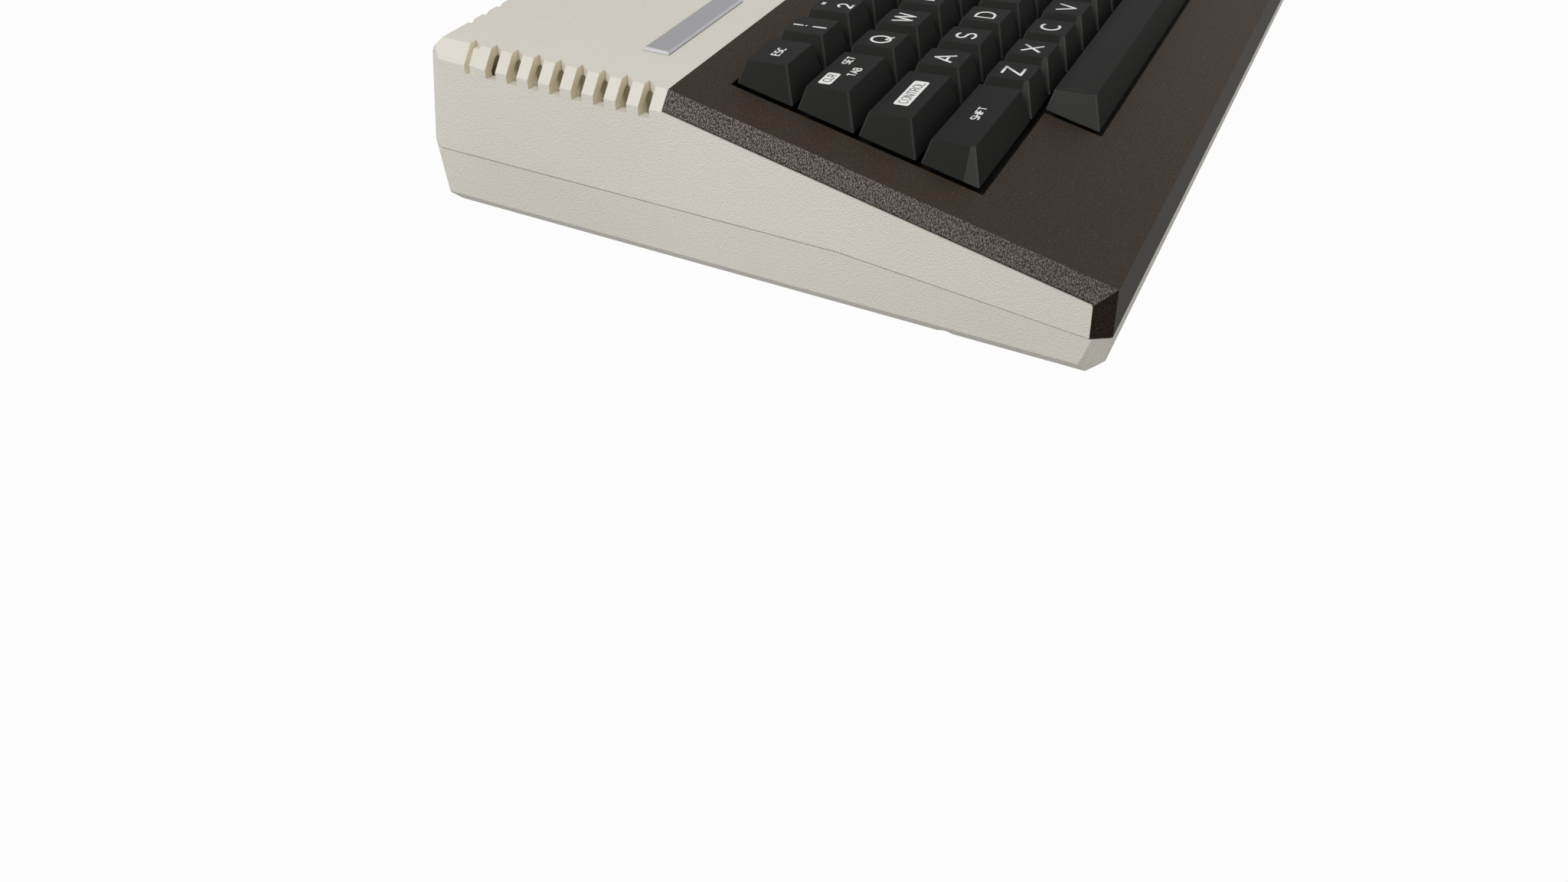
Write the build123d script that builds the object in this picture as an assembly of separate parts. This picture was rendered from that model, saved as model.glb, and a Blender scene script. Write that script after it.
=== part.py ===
from build123d import *
import os
from math import cos, hypot, radians, sin, tan

os.makedirs("parts", exist_ok=True)

# ---------------------------------------------------------------- driving dimensions, millimetres
# Frame: +X to the user's right, +Y to the back, +Z up, origin on the desk under the middle.

# case
case_w = 376.0            # over the side walls at the joint between the halves
deck_d = 82.9             # from the crease, where the bezel starts to fall, to the back
bezel_d = 130.6           # from the crease to the front, in plan
case_d = deck_d + bezel_d
deck_z = 54.9             # flat rear deck above the desk
bezel_slope = 11.3        # bezel and keyboard, degrees to the desk
chamfer_w = 4.2           # chamfer along the sides of deck and bezel, in plan
chamfer_h = 5.05          # the same chamfer, in height
rear_chamfer_w = 4.5
rear_lean = 7.3           # upper rear wall to the vertical, degrees
front_lean = 4.1          # front face to the vertical, degrees
corner_w = 4.2            # vertical corner facets, along X
corner_d = 5.2            # the same facets, along Y
foot_h = 2.6              # clear height under the lower case
seam_z = 21.1             # joint between the halves, back part
seam_run = 76.8           # length of the front part of the joint, which falls to the front
seam_drop = 4.75          # its fall, degrees
side_wall_low_z = 5.73    # lower edge of the side walls
side_taper = 1.0          # how far the lower side walls lean in
side_bevel_w = 2.6        # chamfer under the side walls
rear_taper = 4.0          # how far the lower rear wall leans in
rear_bevel_w = 3.5
front_taper = 0.78
front_wall_low_z = 5.95
front_bevel_w = 4.4
facet_taper = 1.05        # lower corner facets: how far they lean in, at their foot
facet_rise = 1.86         # their foot above the lower edge of the side walls
facet_foot_x = 5.54       # where their foot meets the front wall, from the side
upper_wall = 3.0
lower_wall = 2.8
floor_t = 2.6
bezel_t = 2.4
groove_h = 0.35           # shadow line between the halves
groove_d = 0.7
bezel_groove_h = 0.5      # shadow line under the bezel
rib_t = 1.6
rib_h = 4.0
rail_t = 2.2              # cross rail of the upper case behind the front face
rail_h = 9.0

# cooling slots
slot_pitch = 7.2
slot_w = 3.4
slot_z = 47.2             # lower end of every slot
slot_reach = 2.7          # how far the point of a slot runs into the deck
side_slot_y = 7.3         # rear wall of the first slot behind the crease
side_slots = int((deck_d - side_slot_y) / slot_pitch - 1)
rear_slots = 13
rear_slot_x = case_w / 2 - 16.6   # outer wall of the outermost rear slot
blind_depth = 1.6         # the last side slot does not go through
baffle_gap = 1.2          # inner wall that closes the slots off from the boards, behind their points
baffle_low_z = 38.0
floor_slots = 11
floor_slot_w = 3.0
floor_slot_l = 34.0
floor_slot_pitch = 8.0
floor_slot_x = 66.0       # middle of each field of slots
floor_slot_front = 36.8   # their front ends behind the front of the case
floor_rib_xs = (-110.0, -20.0, 20.0, 110.0)
floor_rib_front = 14.8
deck_rib_xs = [case_w * share for share in (-0.37, -0.27, -0.16, 0.16, 0.27, 0.37)]
pad_w = 6.0               # square pads under the board

# badge
badge_x = -case_w / 2 + 47.4
badge_from_crease = 15.2
badge_w = 47.0
badge_d = 8.8
badge_t = 1.3
badge_sink = 0.5
badge_bevel = 0.8

# typewriter keys
keys_margin_left = 22.0   # side of the case to the first key cell
keys_margin_right = 63.49
keys_margin_front = 32.68  # front of the case to the top front edge of the space bar's row
keys_margin_back = 24.3   # crease to the same edge of the last row
key_units = 15.25         # longest row, in keys
keys_left = keys_margin_left - case_w / 2
bezel_run = bezel_d / cos(radians(bezel_slope))
row_front = keys_margin_front - bezel_run
pitch = (case_w - keys_margin_left - keys_margin_right) / key_units   # along a row: 19.05
row_pitch = (bezel_run - keys_margin_front - keys_margin_back) / 4    # from row to row: 19.05
cap_rise = 9.0            # top front edge of a cap above the bezel
cap_tilt = 15.3           # top face to the bezel, degrees
cap_top_d = row_pitch - 6.45
cap_top_inset = 3.3       # top face inside the cell, each side
cap_gap = 0.45            # skirt inside the cell, each side
skirt_front = 5.3         # skirt ahead of the top front edge
skirt_back = row_pitch - 6.75
skirt_w = 0.4             # skirt's lower edge under the bezel surface
cap_wall = 1.3
cap_edge = 0.5            # bevelled corners of a cap
space_crown = 0.8         # crown of the space bar
space_inset = 2.6
stem_w = 4.6
stem_end = 9.6            # plunger's lower end under the bezel surface
key_travel = 3.8
plunger_inset = 9.5       # outer plungers of a wide key, from its ends
well_gap_x = 2.4          # key cells to the edge of the well, left and right
well_gap_front = 2.0
well_gap_back = 0.56
space_cells = (3.0, 9.0)  # space bar: start and width in key units

# keyboard under the keys
frame_top = 5.0           # frame plate under the bezel surface
frame_t = 2.0
frame_x = case_w / 2 - 14.0
frame_front = row_front - 10.5
frame_back = -7.0
sleeve_w = 8.4
sleeve_gap = 0.1          # plunger to sleeve, each side
sleeve_rise = 0.8
stop_gap = 0.1            # left between a pressed plunger and the membrane
sleeve_end = stem_end + key_travel + stop_gap
membrane_t = 0.2
backplate_t = 1.2
backplate_margin = 2.0
post_r = 2.4
post_margin = 2.0         # screw posts of the bezel, from the key well and from the frame's edges

# console keys and power light
console_x = case_w / 2 - 32.6
console_w = 29.0
console_rise = 4.2
console_tilt = 8.0
console_inset = 1.3
console_skirt = 1.4
console_gap = 0.45
console_front = row_front + 18.5   # middle of the key nearest the front
console_back = -20.0
console_names = ["help_key", "start_key", "select_key", "option_key", "reset_key"]
console_pitch = (console_back - console_front) / (len(console_names) - 1)
console_d = console_pitch - 5.9
lamp_w = 5.2
lamp_d = 2.4
lamp_s = row_front + 2.5
lamp_gap = 0.1
lamp_proud = 0.4

# cartridge slot
slot_from_crease = 37.1
mouth_w = 74.4
mouth_d = 21.8
guide_wall = 1.5
guide_gap = 0.15
guide_low_z = 33.0
guide_sink = 0.6
flange_w = 2.5
flange_t = 2.0
door_t = 1.2
door_axis_in = 1.3        # hinge line inside the mouth's long wall
door_axis_z = 53.0
door_pin_r = 0.7
door_barrel_r = 0.9
pin_gap = 0.05
door_gap = 0.3
socket_w = 62.0
socket_d = 10.0
socket_h = 17.4
socket_slot_w = 56.0
socket_slot_t = 2.6
socket_slot_depth = 10.0

# boards and cans
board_z = 12.0
board_t = 1.6
board_left = 38.0 - case_w / 2
board_right = case_w / 2 - 12.0
board_d = 136.4
board_gap = 8.3           # board's rear edge to the outermost line of the back
board_back = case_d / 2 - board_gap
board_front = board_back - board_d
shield_x = (board_left + 18.0, board_right - 64.0)
shield_y = (board_front + 8.0, board_front + 82.0)
shield_h = 12.4
shield_t = 0.8
shield_slots = 14
shield_slot_w, shield_slot_l = 3.0, 40.0
shield_slot_pitch = (shield_x[1] - shield_x[0]) / (shield_slots + 2)
chip_t = 4.4
can_x = (case_w / 2 - 197.0, case_w / 2 - 152.0)
can_d = 21.0
can_h = 15.6

# openings in the walls
port_ys = (case_d / 2 - 123.25, case_d / 2 - 83.25)
port_w = 33.0
port_h = 13.4
panel_gap = 0.25
port_z = 19.9             # middle height of the controller ports
flange_x = case_w / 2 - 10.5      # flange of their shells
port_body_w = 30.8
port_body_d = 10.5
shell_w, shell_h = 18.0, 9.4
shell_t = 0.6
shell_l = 5.9
port_pin_r = 0.5
pin_pitch = 2.77
panel_z = 21.0            # middle height of the rear connectors
face_sink = 2.9           # faces of the rear connectors inside the outermost line of the back
bus_x = case_w / 2 - 60.0
bus_w, bus_h = 66.0, 13.0
peripheral_x = case_w / 2 - 126.0
peripheral_w, peripheral_h = 44.0, 13.5
recess_w, recess_h, recess_slant = 38.4, 9.0, 2.2
shroud_depth = 10.5
shroud_pin_r, shroud_pin_l = 1.0, 6.0
shroud_pin_pitch = 5.0
jack_x = case_w / 2 - 164.0
jack_r, jack_pin_r = 4.15, 1.6
jack_hole_r = 6.0
channel_x = case_w / 2 - 186.0
channel_w, channel_h = 13.0, 7.0
channel_d = 4.4
channel_travel = 4.0
slider_w, slider_h = 3.2, 3.0
slider_depth = 3.0        # slider inside its track
slider_proud = 1.4
monitor_x = case_w / 2 - 214.0
power_x = case_w / 2 - 246.0
din_z = 22.0
din_r = 7.6
din_body = 17.0
rocker_x = case_w / 2 - 286.0
rocker_w, rocker_h = 15.0, 9.0
rocker_angle = 7.0        # each side of the middle, degrees
rocker_pin_r = 1.2
rocker_pivot = 5.9        # its pivot, from the connector faces
switch_wall = 1.6

# feet, screws
foot_r = 7.0
foot_sink = 1.0
foot_x = case_w / 2 - 28.0
foot_ys = (28.75 - case_d / 2, case_d / 2 - 30.75)
screw_shank_r = 1.45
screw_head_r = 3.2
screw_head_h = 2.2
screw_sink = 3.4
boss_r = 4.2
screw_from_sides = (11.5, 6.5, 118.0)    # rear, side and front pairs of screws
screw_ys = (case_d / 2 - 18.75, 44.75 - case_d / 2, 8.55 - case_d / 2)
screw_spots = [((case_w / 2 - x) * side, y) for x, y in zip(screw_from_sides, screw_ys) for side in (-1, 1)]

# ---------------------------------------------------------------- derived places
half_w = case_w / 2
rear_seam_y = case_d / 2
front_seam_y = -case_d / 2
crease_y = rear_seam_y - deck_d
seam_bend_y = front_seam_y + seam_run
badge_y = crease_y + badge_from_crease
slot_y = crease_y + slot_from_crease
shoulder_x = half_w - chamfer_w
shoulder_z = deck_z - chamfer_h
slope_tan = tan(radians(bezel_slope))
slope_sin = sin(radians(bezel_slope))
slope_cos = cos(radians(bezel_slope))
bezel_normal = (0, -slope_sin, slope_cos)
# Plane on the bezel surface: local x is X, local y runs up the slope from the crease, z out of it.
bezel = Plane(origin=(0, crease_y, deck_z), x_dir=(1, 0, 0), z_dir=bezel_normal).location


def surface_z(y):
    """Height of the sloping bezel surface."""
    return deck_z + (y - crease_y) * slope_tan


def rear_y(z):
    """Upper rear wall, outer face."""
    return rear_seam_y - (z - seam_z) * tan(radians(rear_lean))


def seam_at(y):
    """Height of the joint between the halves."""
    return seam_z - max(0.0, seam_bend_y - y) * tan(radians(seam_drop))


front_seam_z = seam_at(front_seam_y)


def front_y(z):
    """Bezel's front face, outer face."""
    return front_seam_y + (z - front_seam_z) * tan(radians(front_lean))


rear_top_y = rear_y(shoulder_z) - rear_chamfer_w
stem_row = (skirt_back - skirt_front) / 2   # plungers, from the cap's top front edge
board_top = board_z + board_t
can_front = board_back - can_d
face_y = rear_seam_y - face_sink
rocker_pivot_y = face_y - rocker_pivot
inside = (0, 0, (deck_z + foot_h) / 2)


# ---------------------------------------------------------------- tools for the faceted case
def face_through(a, b, c):
    """A point and the outward normal of the case face through three points."""
    a, b, c = Vector(*a), Vector(*b), Vector(*c)
    normal = (b - a).cross(c - a).normalized()
    if normal.dot(Vector(*inside) - a) > 0:
        normal = normal * -1
    return a, normal


def across(y0, z0, y1, z1):
    """A face that runs straight across the case, from its side view."""
    return face_through((0, y0, z0), (1, y0, z0), (0, y1, z1))


def upper_faces():
    """Outer faces of the closed shape that upper case and bezel are cut from."""
    faces = [across(0, deck_z, 1, deck_z),
             across(0, surface_z(0), 1, surface_z(1)),
             across(front_y(0), 0, front_y(deck_z), deck_z),
             across(rear_y(0), 0, rear_y(deck_z), deck_z),
             across(rear_y(shoulder_z), shoulder_z, rear_top_y, deck_z)]
    for side in (-1, 1):
        x, x_in, x_facet = side * half_w, side * shoulder_x, side * (half_w - corner_w)
        faces.append(face_through((x, 0, 0), (x, 1, 0), (x, 0, 1)))
        faces.append(face_through((x_in, 0, deck_z), (x_in, 1, deck_z), (x, 0, shoulder_z)))
        faces.append(face_through((x_in, 0, surface_z(0)), (x_in, 1, surface_z(1)),
                                  (x, 0, surface_z(0) - chamfer_h)))
        for end_y, inward in ((front_y, corner_d), (rear_y, -corner_d)):
            faces.append(face_through((x, end_y(0) + inward, 0), (x, end_y(deck_z) + inward, deck_z),
                                      (x_facet, end_y(0), 0)))
    return faces


def lower_faces():
    """Outer faces of the lower case."""
    rear_low = rear_seam_y - rear_taper
    front_low = front_seam_y + front_taper
    front_floor = front_low + front_bevel_w
    facet_y = front_seam_y + corner_d + facet_taper
    facet_z = side_wall_low_z + facet_rise
    faces = [across(0, foot_h, 1, foot_h),
             across(rear_seam_y, seam_z, rear_low, side_wall_low_z),
             across(rear_low, side_wall_low_z, rear_low - rear_bevel_w, foot_h),
             across(front_seam_y, front_seam_z, front_low, front_wall_low_z),
             across(front_low, front_wall_low_z, front_floor, foot_h)]
    for side in (-1, 1):
        x, x_low = side * half_w, side * (half_w - side_taper)
        x_floor, x_facet = x_low - side * side_bevel_w, x - side * corner_w
        faces.append(face_through((x, 0, seam_z), (x, 1, seam_z), (x_low, 0, side_wall_low_z)))
        faces.append(face_through((x_low, 0, side_wall_low_z), (x_low, 1, side_wall_low_z),
                                  (x_floor, 0, foot_h)))
        faces.append(face_through((x, front_seam_y + corner_d, front_seam_z),
                                  (x_facet, front_seam_y, front_seam_z), (x_low, facet_y, facet_z)))
        faces.append(face_through((x_low, facet_y, facet_z), (x_floor, front_floor, foot_h),
                                  (x - side * facet_foot_x, front_low, front_wall_low_z)))
        faces.append(face_through((x, rear_seam_y - corner_d, seam_z), (x_facet, rear_seam_y, seam_z),
                                  (x_low, rear_seam_y - corner_d - facet_taper / 3, side_wall_low_z)))
    return faces


def block(faces, inset=0.0):
    """Convex block inside a set of faces, each moved in by the inset."""
    body = Box(2 * case_w, 2 * case_w, 4 * deck_z)
    for point, normal in faces:
        body = split(body, bisect_by=Plane(origin=point - normal * inset, z_dir=normal), keep=Keep.BOTTOM)
    return body


def side_prism(points):
    """Solid over the full width from a side view, given as (y, z) points."""
    return extrude(Plane.YZ * make_face(Polyline(*points, close=True)), amount=case_w, both=True)


def seam_band(low, high):
    """Layer between two heights above the joint line."""
    ys = (-case_w, seam_bend_y, case_w)
    bottom = [(y, seam_at(y) + low) for y in ys]
    top = [(y, seam_at(y) + high) for y in reversed(ys)]
    return side_prism(bottom + top)


def box_between(x, y, z):
    """Box from three pairs of limits."""
    size = (x[1] - x[0], y[1] - y[0], z[1] - z[0])
    return Pos(x[0], y[0], z[0]) * Box(*size, align=Align.MIN)


def cylinder_z(x, y, r, z0, z1):
    """Upright cylinder between two heights."""
    return Pos(x, y, z0) * Cylinder(r, z1 - z0, align=(Align.CENTER, Align.CENTER, Align.MIN))


def cylinder_y(x, z, r, y0, y1):
    """Cylinder along Y between two places."""
    upright = (Align.CENTER, Align.CENTER, Align.MIN)
    return Pos(x, y0, z) * Rot(-90, 0, 0) * Cylinder(r, y1 - y0, align=upright)


def save(node, *solids):
    """Write one sub-part, a single solid or a group of like ones."""
    shape = solids[0] if len(solids) == 1 else Compound(children=list(solids))
    export_step(shape, f"parts/{node}.step")


upper_outer = block(upper_faces())
lower_outer = block(lower_faces())


def shadow_groove(outer, faces, band):
    """Thin ring cut into the outside of a wall within a layer."""
    return (outer - block(faces, groove_d)) & band


# ---------------------------------------------------------------- cut-outs shared by both halves
def side_openings():
    """Clear openings for the plugs of the two controller ports."""
    return [box_between((half_w - 12, half_w + 5), (y - port_w / 2, y + port_w / 2),
                        (port_z - port_h / 2, port_z + port_h / 2)) for y in port_ys]


def rear_window(x, w, h):
    """Opening for a rectangular rear connector."""
    return box_between((x - w / 2 - panel_gap, x + w / 2 + panel_gap),
                       (rear_y(deck_z) - 12, rear_seam_y + 5),
                       (panel_z - h / 2 - panel_gap, panel_z + h / 2 + panel_gap))


def rear_openings():
    """Openings in the back, left to right as the user would count them."""
    holes = [rear_window(rocker_x, rocker_w + 2 * switch_wall + 4, rocker_h + 2 * switch_wall + 1)]
    for x in (power_x, monitor_x):
        holes.append(cylinder_y(x, din_z, din_r + 1.2, rear_y(deck_z) - 12, rear_seam_y + 5))
    holes.append(rear_window(channel_x, channel_w, channel_h))
    holes.append(cylinder_y(jack_x, panel_z, jack_hole_r, rear_y(deck_z) - 12, rear_seam_y + 5))
    holes.append(rear_window(peripheral_x, peripheral_w, peripheral_h))
    holes.append(rear_window(bus_x, bus_w, bus_h))
    return holes


# ---------------------------------------------------------------- upper case
def vent_plan(depth_out):
    """Plan of a slot: square at the wall, pointed where it runs into the deck."""
    inner = chamfer_w + slot_reach
    return Polyline((-depth_out, 0), (chamfer_w, 0), (inner, slot_w), (-depth_out, slot_w), close=True)


def side_vents(side):
    """Slots over one side chamfer, from the crease to the back, and the blind last one."""
    plan = Plane.XY.offset(slot_z) * make_face(vent_plan(chamfer_w))
    slot = extrude(plan, amount=deck_z)
    slot = Pos(-half_w, crease_y + side_slot_y - slot_w, 0) * slot
    slots = [Pos(0, i * slot_pitch, 0) * slot for i in range(side_slots)]
    if side > 0:
        slots = [mirror(s, Plane.YZ) for s in slots]
    return slots


def rear_vents(side):
    """Slots over one half of the rear chamfer."""
    plan = Plane.XY.offset(slot_z) * make_face(vent_plan(rear_chamfer_w))
    slot = Rot(0, 0, -90) * extrude(plan, amount=deck_z)
    slot = mirror(slot, Plane.YZ)
    slot = Pos(-rear_slot_x + slot_w, rear_y(shoulder_z), 0) * slot
    slots = [Pos(i * slot_pitch, 0, 0) * slot for i in range(rear_slots)]
    if side > 0:
        slots = [mirror(s, Plane.YZ) for s in slots]
    return slots


def vent_baffles():
    """Inner walls that hang from the deck behind the side and rear slots."""
    height = (baffle_low_z, deck_z - upper_wall + 0.5)
    inner_x = shoulder_x - slot_reach - baffle_gap
    rear = rear_y(shoulder_z) - rear_chamfer_w - slot_reach - baffle_gap
    walls = [box_between((-inner_x, inner_x), (rear - rib_t, rear), height)]
    for side in (-1, 1):
        xs = sorted((side * inner_x, side * (inner_x - rib_t)))
        walls.append(box_between(xs, (crease_y + 3, rear), height))
    return walls


def bezel_region():
    """Space that the bezel takes: over the side walls and ahead of their front ends."""
    far = -case_w
    side_top = surface_z(0) - chamfer_h
    over = side_prism([(crease_y, 2 * deck_z), (crease_y, side_top + crease_y * slope_tan),
                       (far, side_top + far * slope_tan), (far, 2 * deck_z)])
    ahead = side_prism([(front_y(2 * deck_z) + corner_d, 2 * deck_z), (front_y(0) + corner_d, 0),
                        (far, 0), (far, 2 * deck_z)])
    return over + ahead


def upper_case():
    """Beige shell: deck, rear wall, side walls, front rail, screw bosses and ribs."""
    shell = upper_outer - block(upper_faces(), upper_wall)
    shell = shell & seam_band(0, 2 * deck_z)
    shell = shell - bezel_region()
    ledge = bezel * box_between((-shoulder_x, shoulder_x), (-7, 3), (-bezel_t - 2.0, -bezel_t))
    rail_y = front_y(deck_z) + corner_d
    rail = box_between((-half_w + 1, half_w - 1), (rail_y - corner_d, rail_y + rail_t),
                       (front_seam_z, front_seam_z + rail_h))
    body = shell + [ledge, rail]
    body += vent_baffles()
    for x in deck_rib_xs:
        body += box_between((x - rib_t / 2, x + rib_t / 2), (crease_y + 3, rear_top_y),
                            (deck_z - upper_wall - rib_h, deck_z - upper_wall + 0.5))
    for x, y in screw_spots:
        top = deck_z - 1 if y > crease_y else seam_at(y) + 12.0
        body += cylinder_z(x, y, boss_r, seam_at(y) - 1, top)
    body = (body & upper_outer & seam_band(0, 2 * deck_z)) - bezel_region()
    for x, y in screw_spots:
        body -= cylinder_z(x, y, screw_shank_r + pin_gap, seam_at(y) - 2, seam_at(y) + 10)
    skin = upper_outer - block(upper_faces(), blind_depth)
    for side in (-1, 1):
        slots = side_vents(side)
        body -= slots[:-1] + [slots[-1] & skin] + rear_vents(side)
    body -= side_openings() + rear_openings()
    outer_x, outer_y = mouth_w / 2 + guide_wall + guide_gap, mouth_d / 2 + guide_wall + guide_gap
    body -= box_between((-outer_x, outer_x), (slot_y - outer_y, slot_y + outer_y),
                        (guide_low_z, 2 * deck_z))
    body -= Pos(badge_x, badge_y, deck_z - badge_sink) * Box(badge_w, badge_d, 5, align=(
        Align.CENTER, Align.CENTER, Align.MIN))
    return body.solid()


# ---------------------------------------------------------------- lower case
def lower_case():
    """Beige tray: tapered walls, floor, bosses, board posts, foot recesses, floor slots."""
    cavity = block(lower_faces(), lower_wall) & box_between(
        (-case_w, case_w), (-case_w, case_w), (foot_h + floor_t, 2 * deck_z))
    body = (lower_outer & seam_band(-2 * deck_z, 0)) - cavity
    body -= shadow_groove(lower_outer, lower_faces(), seam_band(-groove_h, 1))
    floor_z = foot_h + floor_t
    for x, y in screw_spots:
        boss = cylinder_z(x, y, boss_r, foot_h + 0.5, seam_at(y) + 1)
        body += boss & lower_outer & seam_band(-2 * deck_z, 0)
    for x in (board_left + 8, -floor_slot_x + pad_w, floor_slot_x - pad_w, board_right - 10):
        for y in (board_front + 6, shield_y[1] + 2, board_back - 14):
            body += box_between((x - pad_w / 2, x + pad_w / 2), (y - pad_w / 2, y + pad_w / 2),
                                (floor_z - 0.5, board_z))
    for x in floor_rib_xs:
        body += box_between((x - rib_t / 2, x + rib_t / 2), (front_seam_y + floor_rib_front, board_back - 8),
                            (floor_z - 0.5, floor_z + rib_h))
    for x, y in screw_spots:
        body -= cylinder_z(x, y, screw_shank_r + 0.4, 0, seam_z + 5)
        body -= cylinder_z(x, y, screw_head_r + 0.4, 0, foot_h + screw_sink)
    for side in (-1, 1):
        for y in foot_ys:
            body -= cylinder_z(side * foot_x, y, foot_r + 0.2, 0, foot_h + foot_sink)
        for i in range(floor_slots):
            x = side * floor_slot_x + (i - (floor_slots - 1) / 2) * floor_slot_pitch
            clear = min(abs(x - rib) for rib in floor_rib_xs) > (floor_slot_w + rib_t) / 2 + 1
            if clear:
                y = front_seam_y + floor_slot_front
                body -= box_between((x - floor_slot_w / 2, x + floor_slot_w / 2), (y, y + floor_slot_l),
                                    (0, floor_z + 1))
    body -= side_openings() + rear_openings()
    return body.solid()


# ---------------------------------------------------------------- keyboard bezel and badge
def well_outline():
    """Key well, with the step round the space bar, on the bezel surface."""
    left = keys_left - well_gap_x
    right = keys_left + key_units * pitch + well_gap_x
    back = row_front + 4 * row_pitch + skirt_back + well_gap_back
    front = row_front + row_pitch - skirt_front - well_gap_front
    step_front = row_front - skirt_front - 1.3
    step_left = keys_left + space_cells[0] * pitch - well_gap_x
    step_right = keys_left + sum(space_cells) * pitch + well_gap_x
    return Polyline((left, back), (right, back), (right, front), (step_right, front),
                    (step_right, step_front), (step_left, step_front), (step_left, front),
                    (left, front), close=True)


def keyboard_bezel():
    """Brown shell with the stepped key well, console key openings, lamp hole and screw posts."""
    shell = upper_outer - block(upper_faces(), bezel_t)
    shell = shell & bezel_region() & seam_band(0, 2 * deck_z)
    side_top = surface_z(0) - chamfer_h
    edges = [(-case_w, side_top - case_w * slope_tan), (case_w, side_top + case_w * slope_tan)]
    band = side_prism(edges + [(y, z + bezel_groove_h) for y, z in reversed(edges)])
    ys = (front_seam_y + corner_d + 1, crease_y + 1)
    shell -= [band & box_between((x - groove_d, x + groove_d), ys, (0, deck_z)) for x in (-half_w, half_w)]
    posts = [bezel * Pos(x, s, -frame_top) * Cylinder(post_r, frame_top - 1.0, align=(
        Align.CENTER, Align.CENTER, Align.MIN)) for x, s in bezel_posts]
    shell += posts
    shell -= bezel * extrude(make_face(well_outline()), amount=10, both=True)
    for i in range(len(console_names)):
        s = console_front + i * console_pitch
        hole = Box(console_w + 2 * console_gap, console_d + 2 * console_gap, 20)
        shell -= bezel * Pos(console_x, s, 0) * hole
    shell -= bezel * Pos(console_x, lamp_s, 0) * Box(lamp_w + 2 * lamp_gap, lamp_d + 2 * lamp_gap, 20)
    return shell.solid()


def badge_plate():
    """Thin bright plate with bevelled edges, let into the deck."""
    plate = Pos(badge_x, badge_y, deck_z - badge_sink) * Box(badge_w - 0.1, badge_d - 0.1, badge_t, align=(
        Align.CENTER, Align.CENTER, Align.MIN))
    return chamfer(plate.faces().sort_by(Axis.Z)[-1].edges(), badge_bevel * 0.7, badge_bevel)


# ---------------------------------------------------------------- typewriter keys
# Rows from the back: row number counted from the space bar, start, then (node, width, how many).
ROWS = [
    (4, 0.0, [("key_esc", 1.25, 1), ("key_1", 1, 1), ("key_2", 1, 1), ("number_row_keys", 1, 10),
              ("key_backspace", 1, 1), ("key_break", 1, 1)]),
    (3, 0.0, [("key_tab", 1.75, 1), ("key_q", 1, 1), ("key_w", 1, 1), ("key_e", 1, 1),
              ("upper_row_keys", 1, 9), ("key_return", 1.5, 1)]),
    (2, 0.0, [("key_control", 2.0, 1), ("key_a", 1, 1), ("key_s", 1, 1), ("key_d", 1, 1), ("key_f", 1, 1),
              ("home_row_keys", 1, 8), ("key_caps", 1.25, 1)]),
    (1, 0.0, [("key_left_shift", 2.5, 1), ("key_z", 1, 1), ("key_x", 1, 1), ("key_c", 1, 1), ("key_v", 1, 1),
              ("lower_row_keys", 1, 7), ("key_right_shift", 1.75, 1)]),
    (0, space_cells[0], [("key_space", space_cells[1], 1)]),
]


def guide_posts(width):
    """Plunger places across a cap: one in the middle, and one near each end of a wide cap."""
    if width < 2:
        return [0.0]
    end = width * pitch / 2 - plunger_inset
    return [-end, 0.0, end]


def cap_section(half, front, back, cut):
    """Rectangle with cut corners, from a front to a back edge given as (along the slope, height)."""
    run, rise = back[0] - front[0], back[1] - front[1]
    plane = Plane(origin=(0, *front), x_dir=(1, 0, 0), z_dir=(0, -rise, run))
    outline = Rectangle(2 * half, hypot(run, rise), align=(Align.CENTER, Align.MIN))
    return plane * chamfer(outline.vertices(), cut)


def between(start, end, share):
    """Point on the way from one (along, height) point to another."""
    return tuple(a + (b - a) * share for a, b in zip(start, end))


def tapered_cap(half_low, skirt, half_top, top, edge):
    """Solid from a level skirt to a tilted top, corners bevelled; edges are (along, height)."""
    return loft([cap_section(half_low, *skirt, edge), cap_section(half_top, *top, edge)], ruled=True)


def cap_cavity(half_low, top_inset):
    """Hollow of a cap: straight walls, cut off parallel to the tilted top."""
    height = cap_rise + skirt_w
    half_top = half_low - (top_inset - cap_gap) - cap_wall / 3
    low = Plane.XY.offset(-skirt_w) * Pos(0, -skirt_front + cap_wall) * Rectangle(
        2 * half_low, skirt_front + skirt_back - 2 * cap_wall, align=(Align.CENTER, Align.MIN))
    high = Plane.XY.offset(-skirt_w + height) * Pos(0, cap_wall) * Rectangle(
        2 * half_top, skirt_back - 2 * cap_wall, align=(Align.CENTER, Align.MIN))
    tilt = radians(cap_tilt)
    ceiling = Plane(origin=(0, 0, cap_rise - cap_wall / cos(tilt)), z_dir=(0, sin(tilt), cos(tilt)))
    return split(loft([low, high], ruled=True), bisect_by=ceiling, keep=Keep.BOTTOM)


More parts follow.
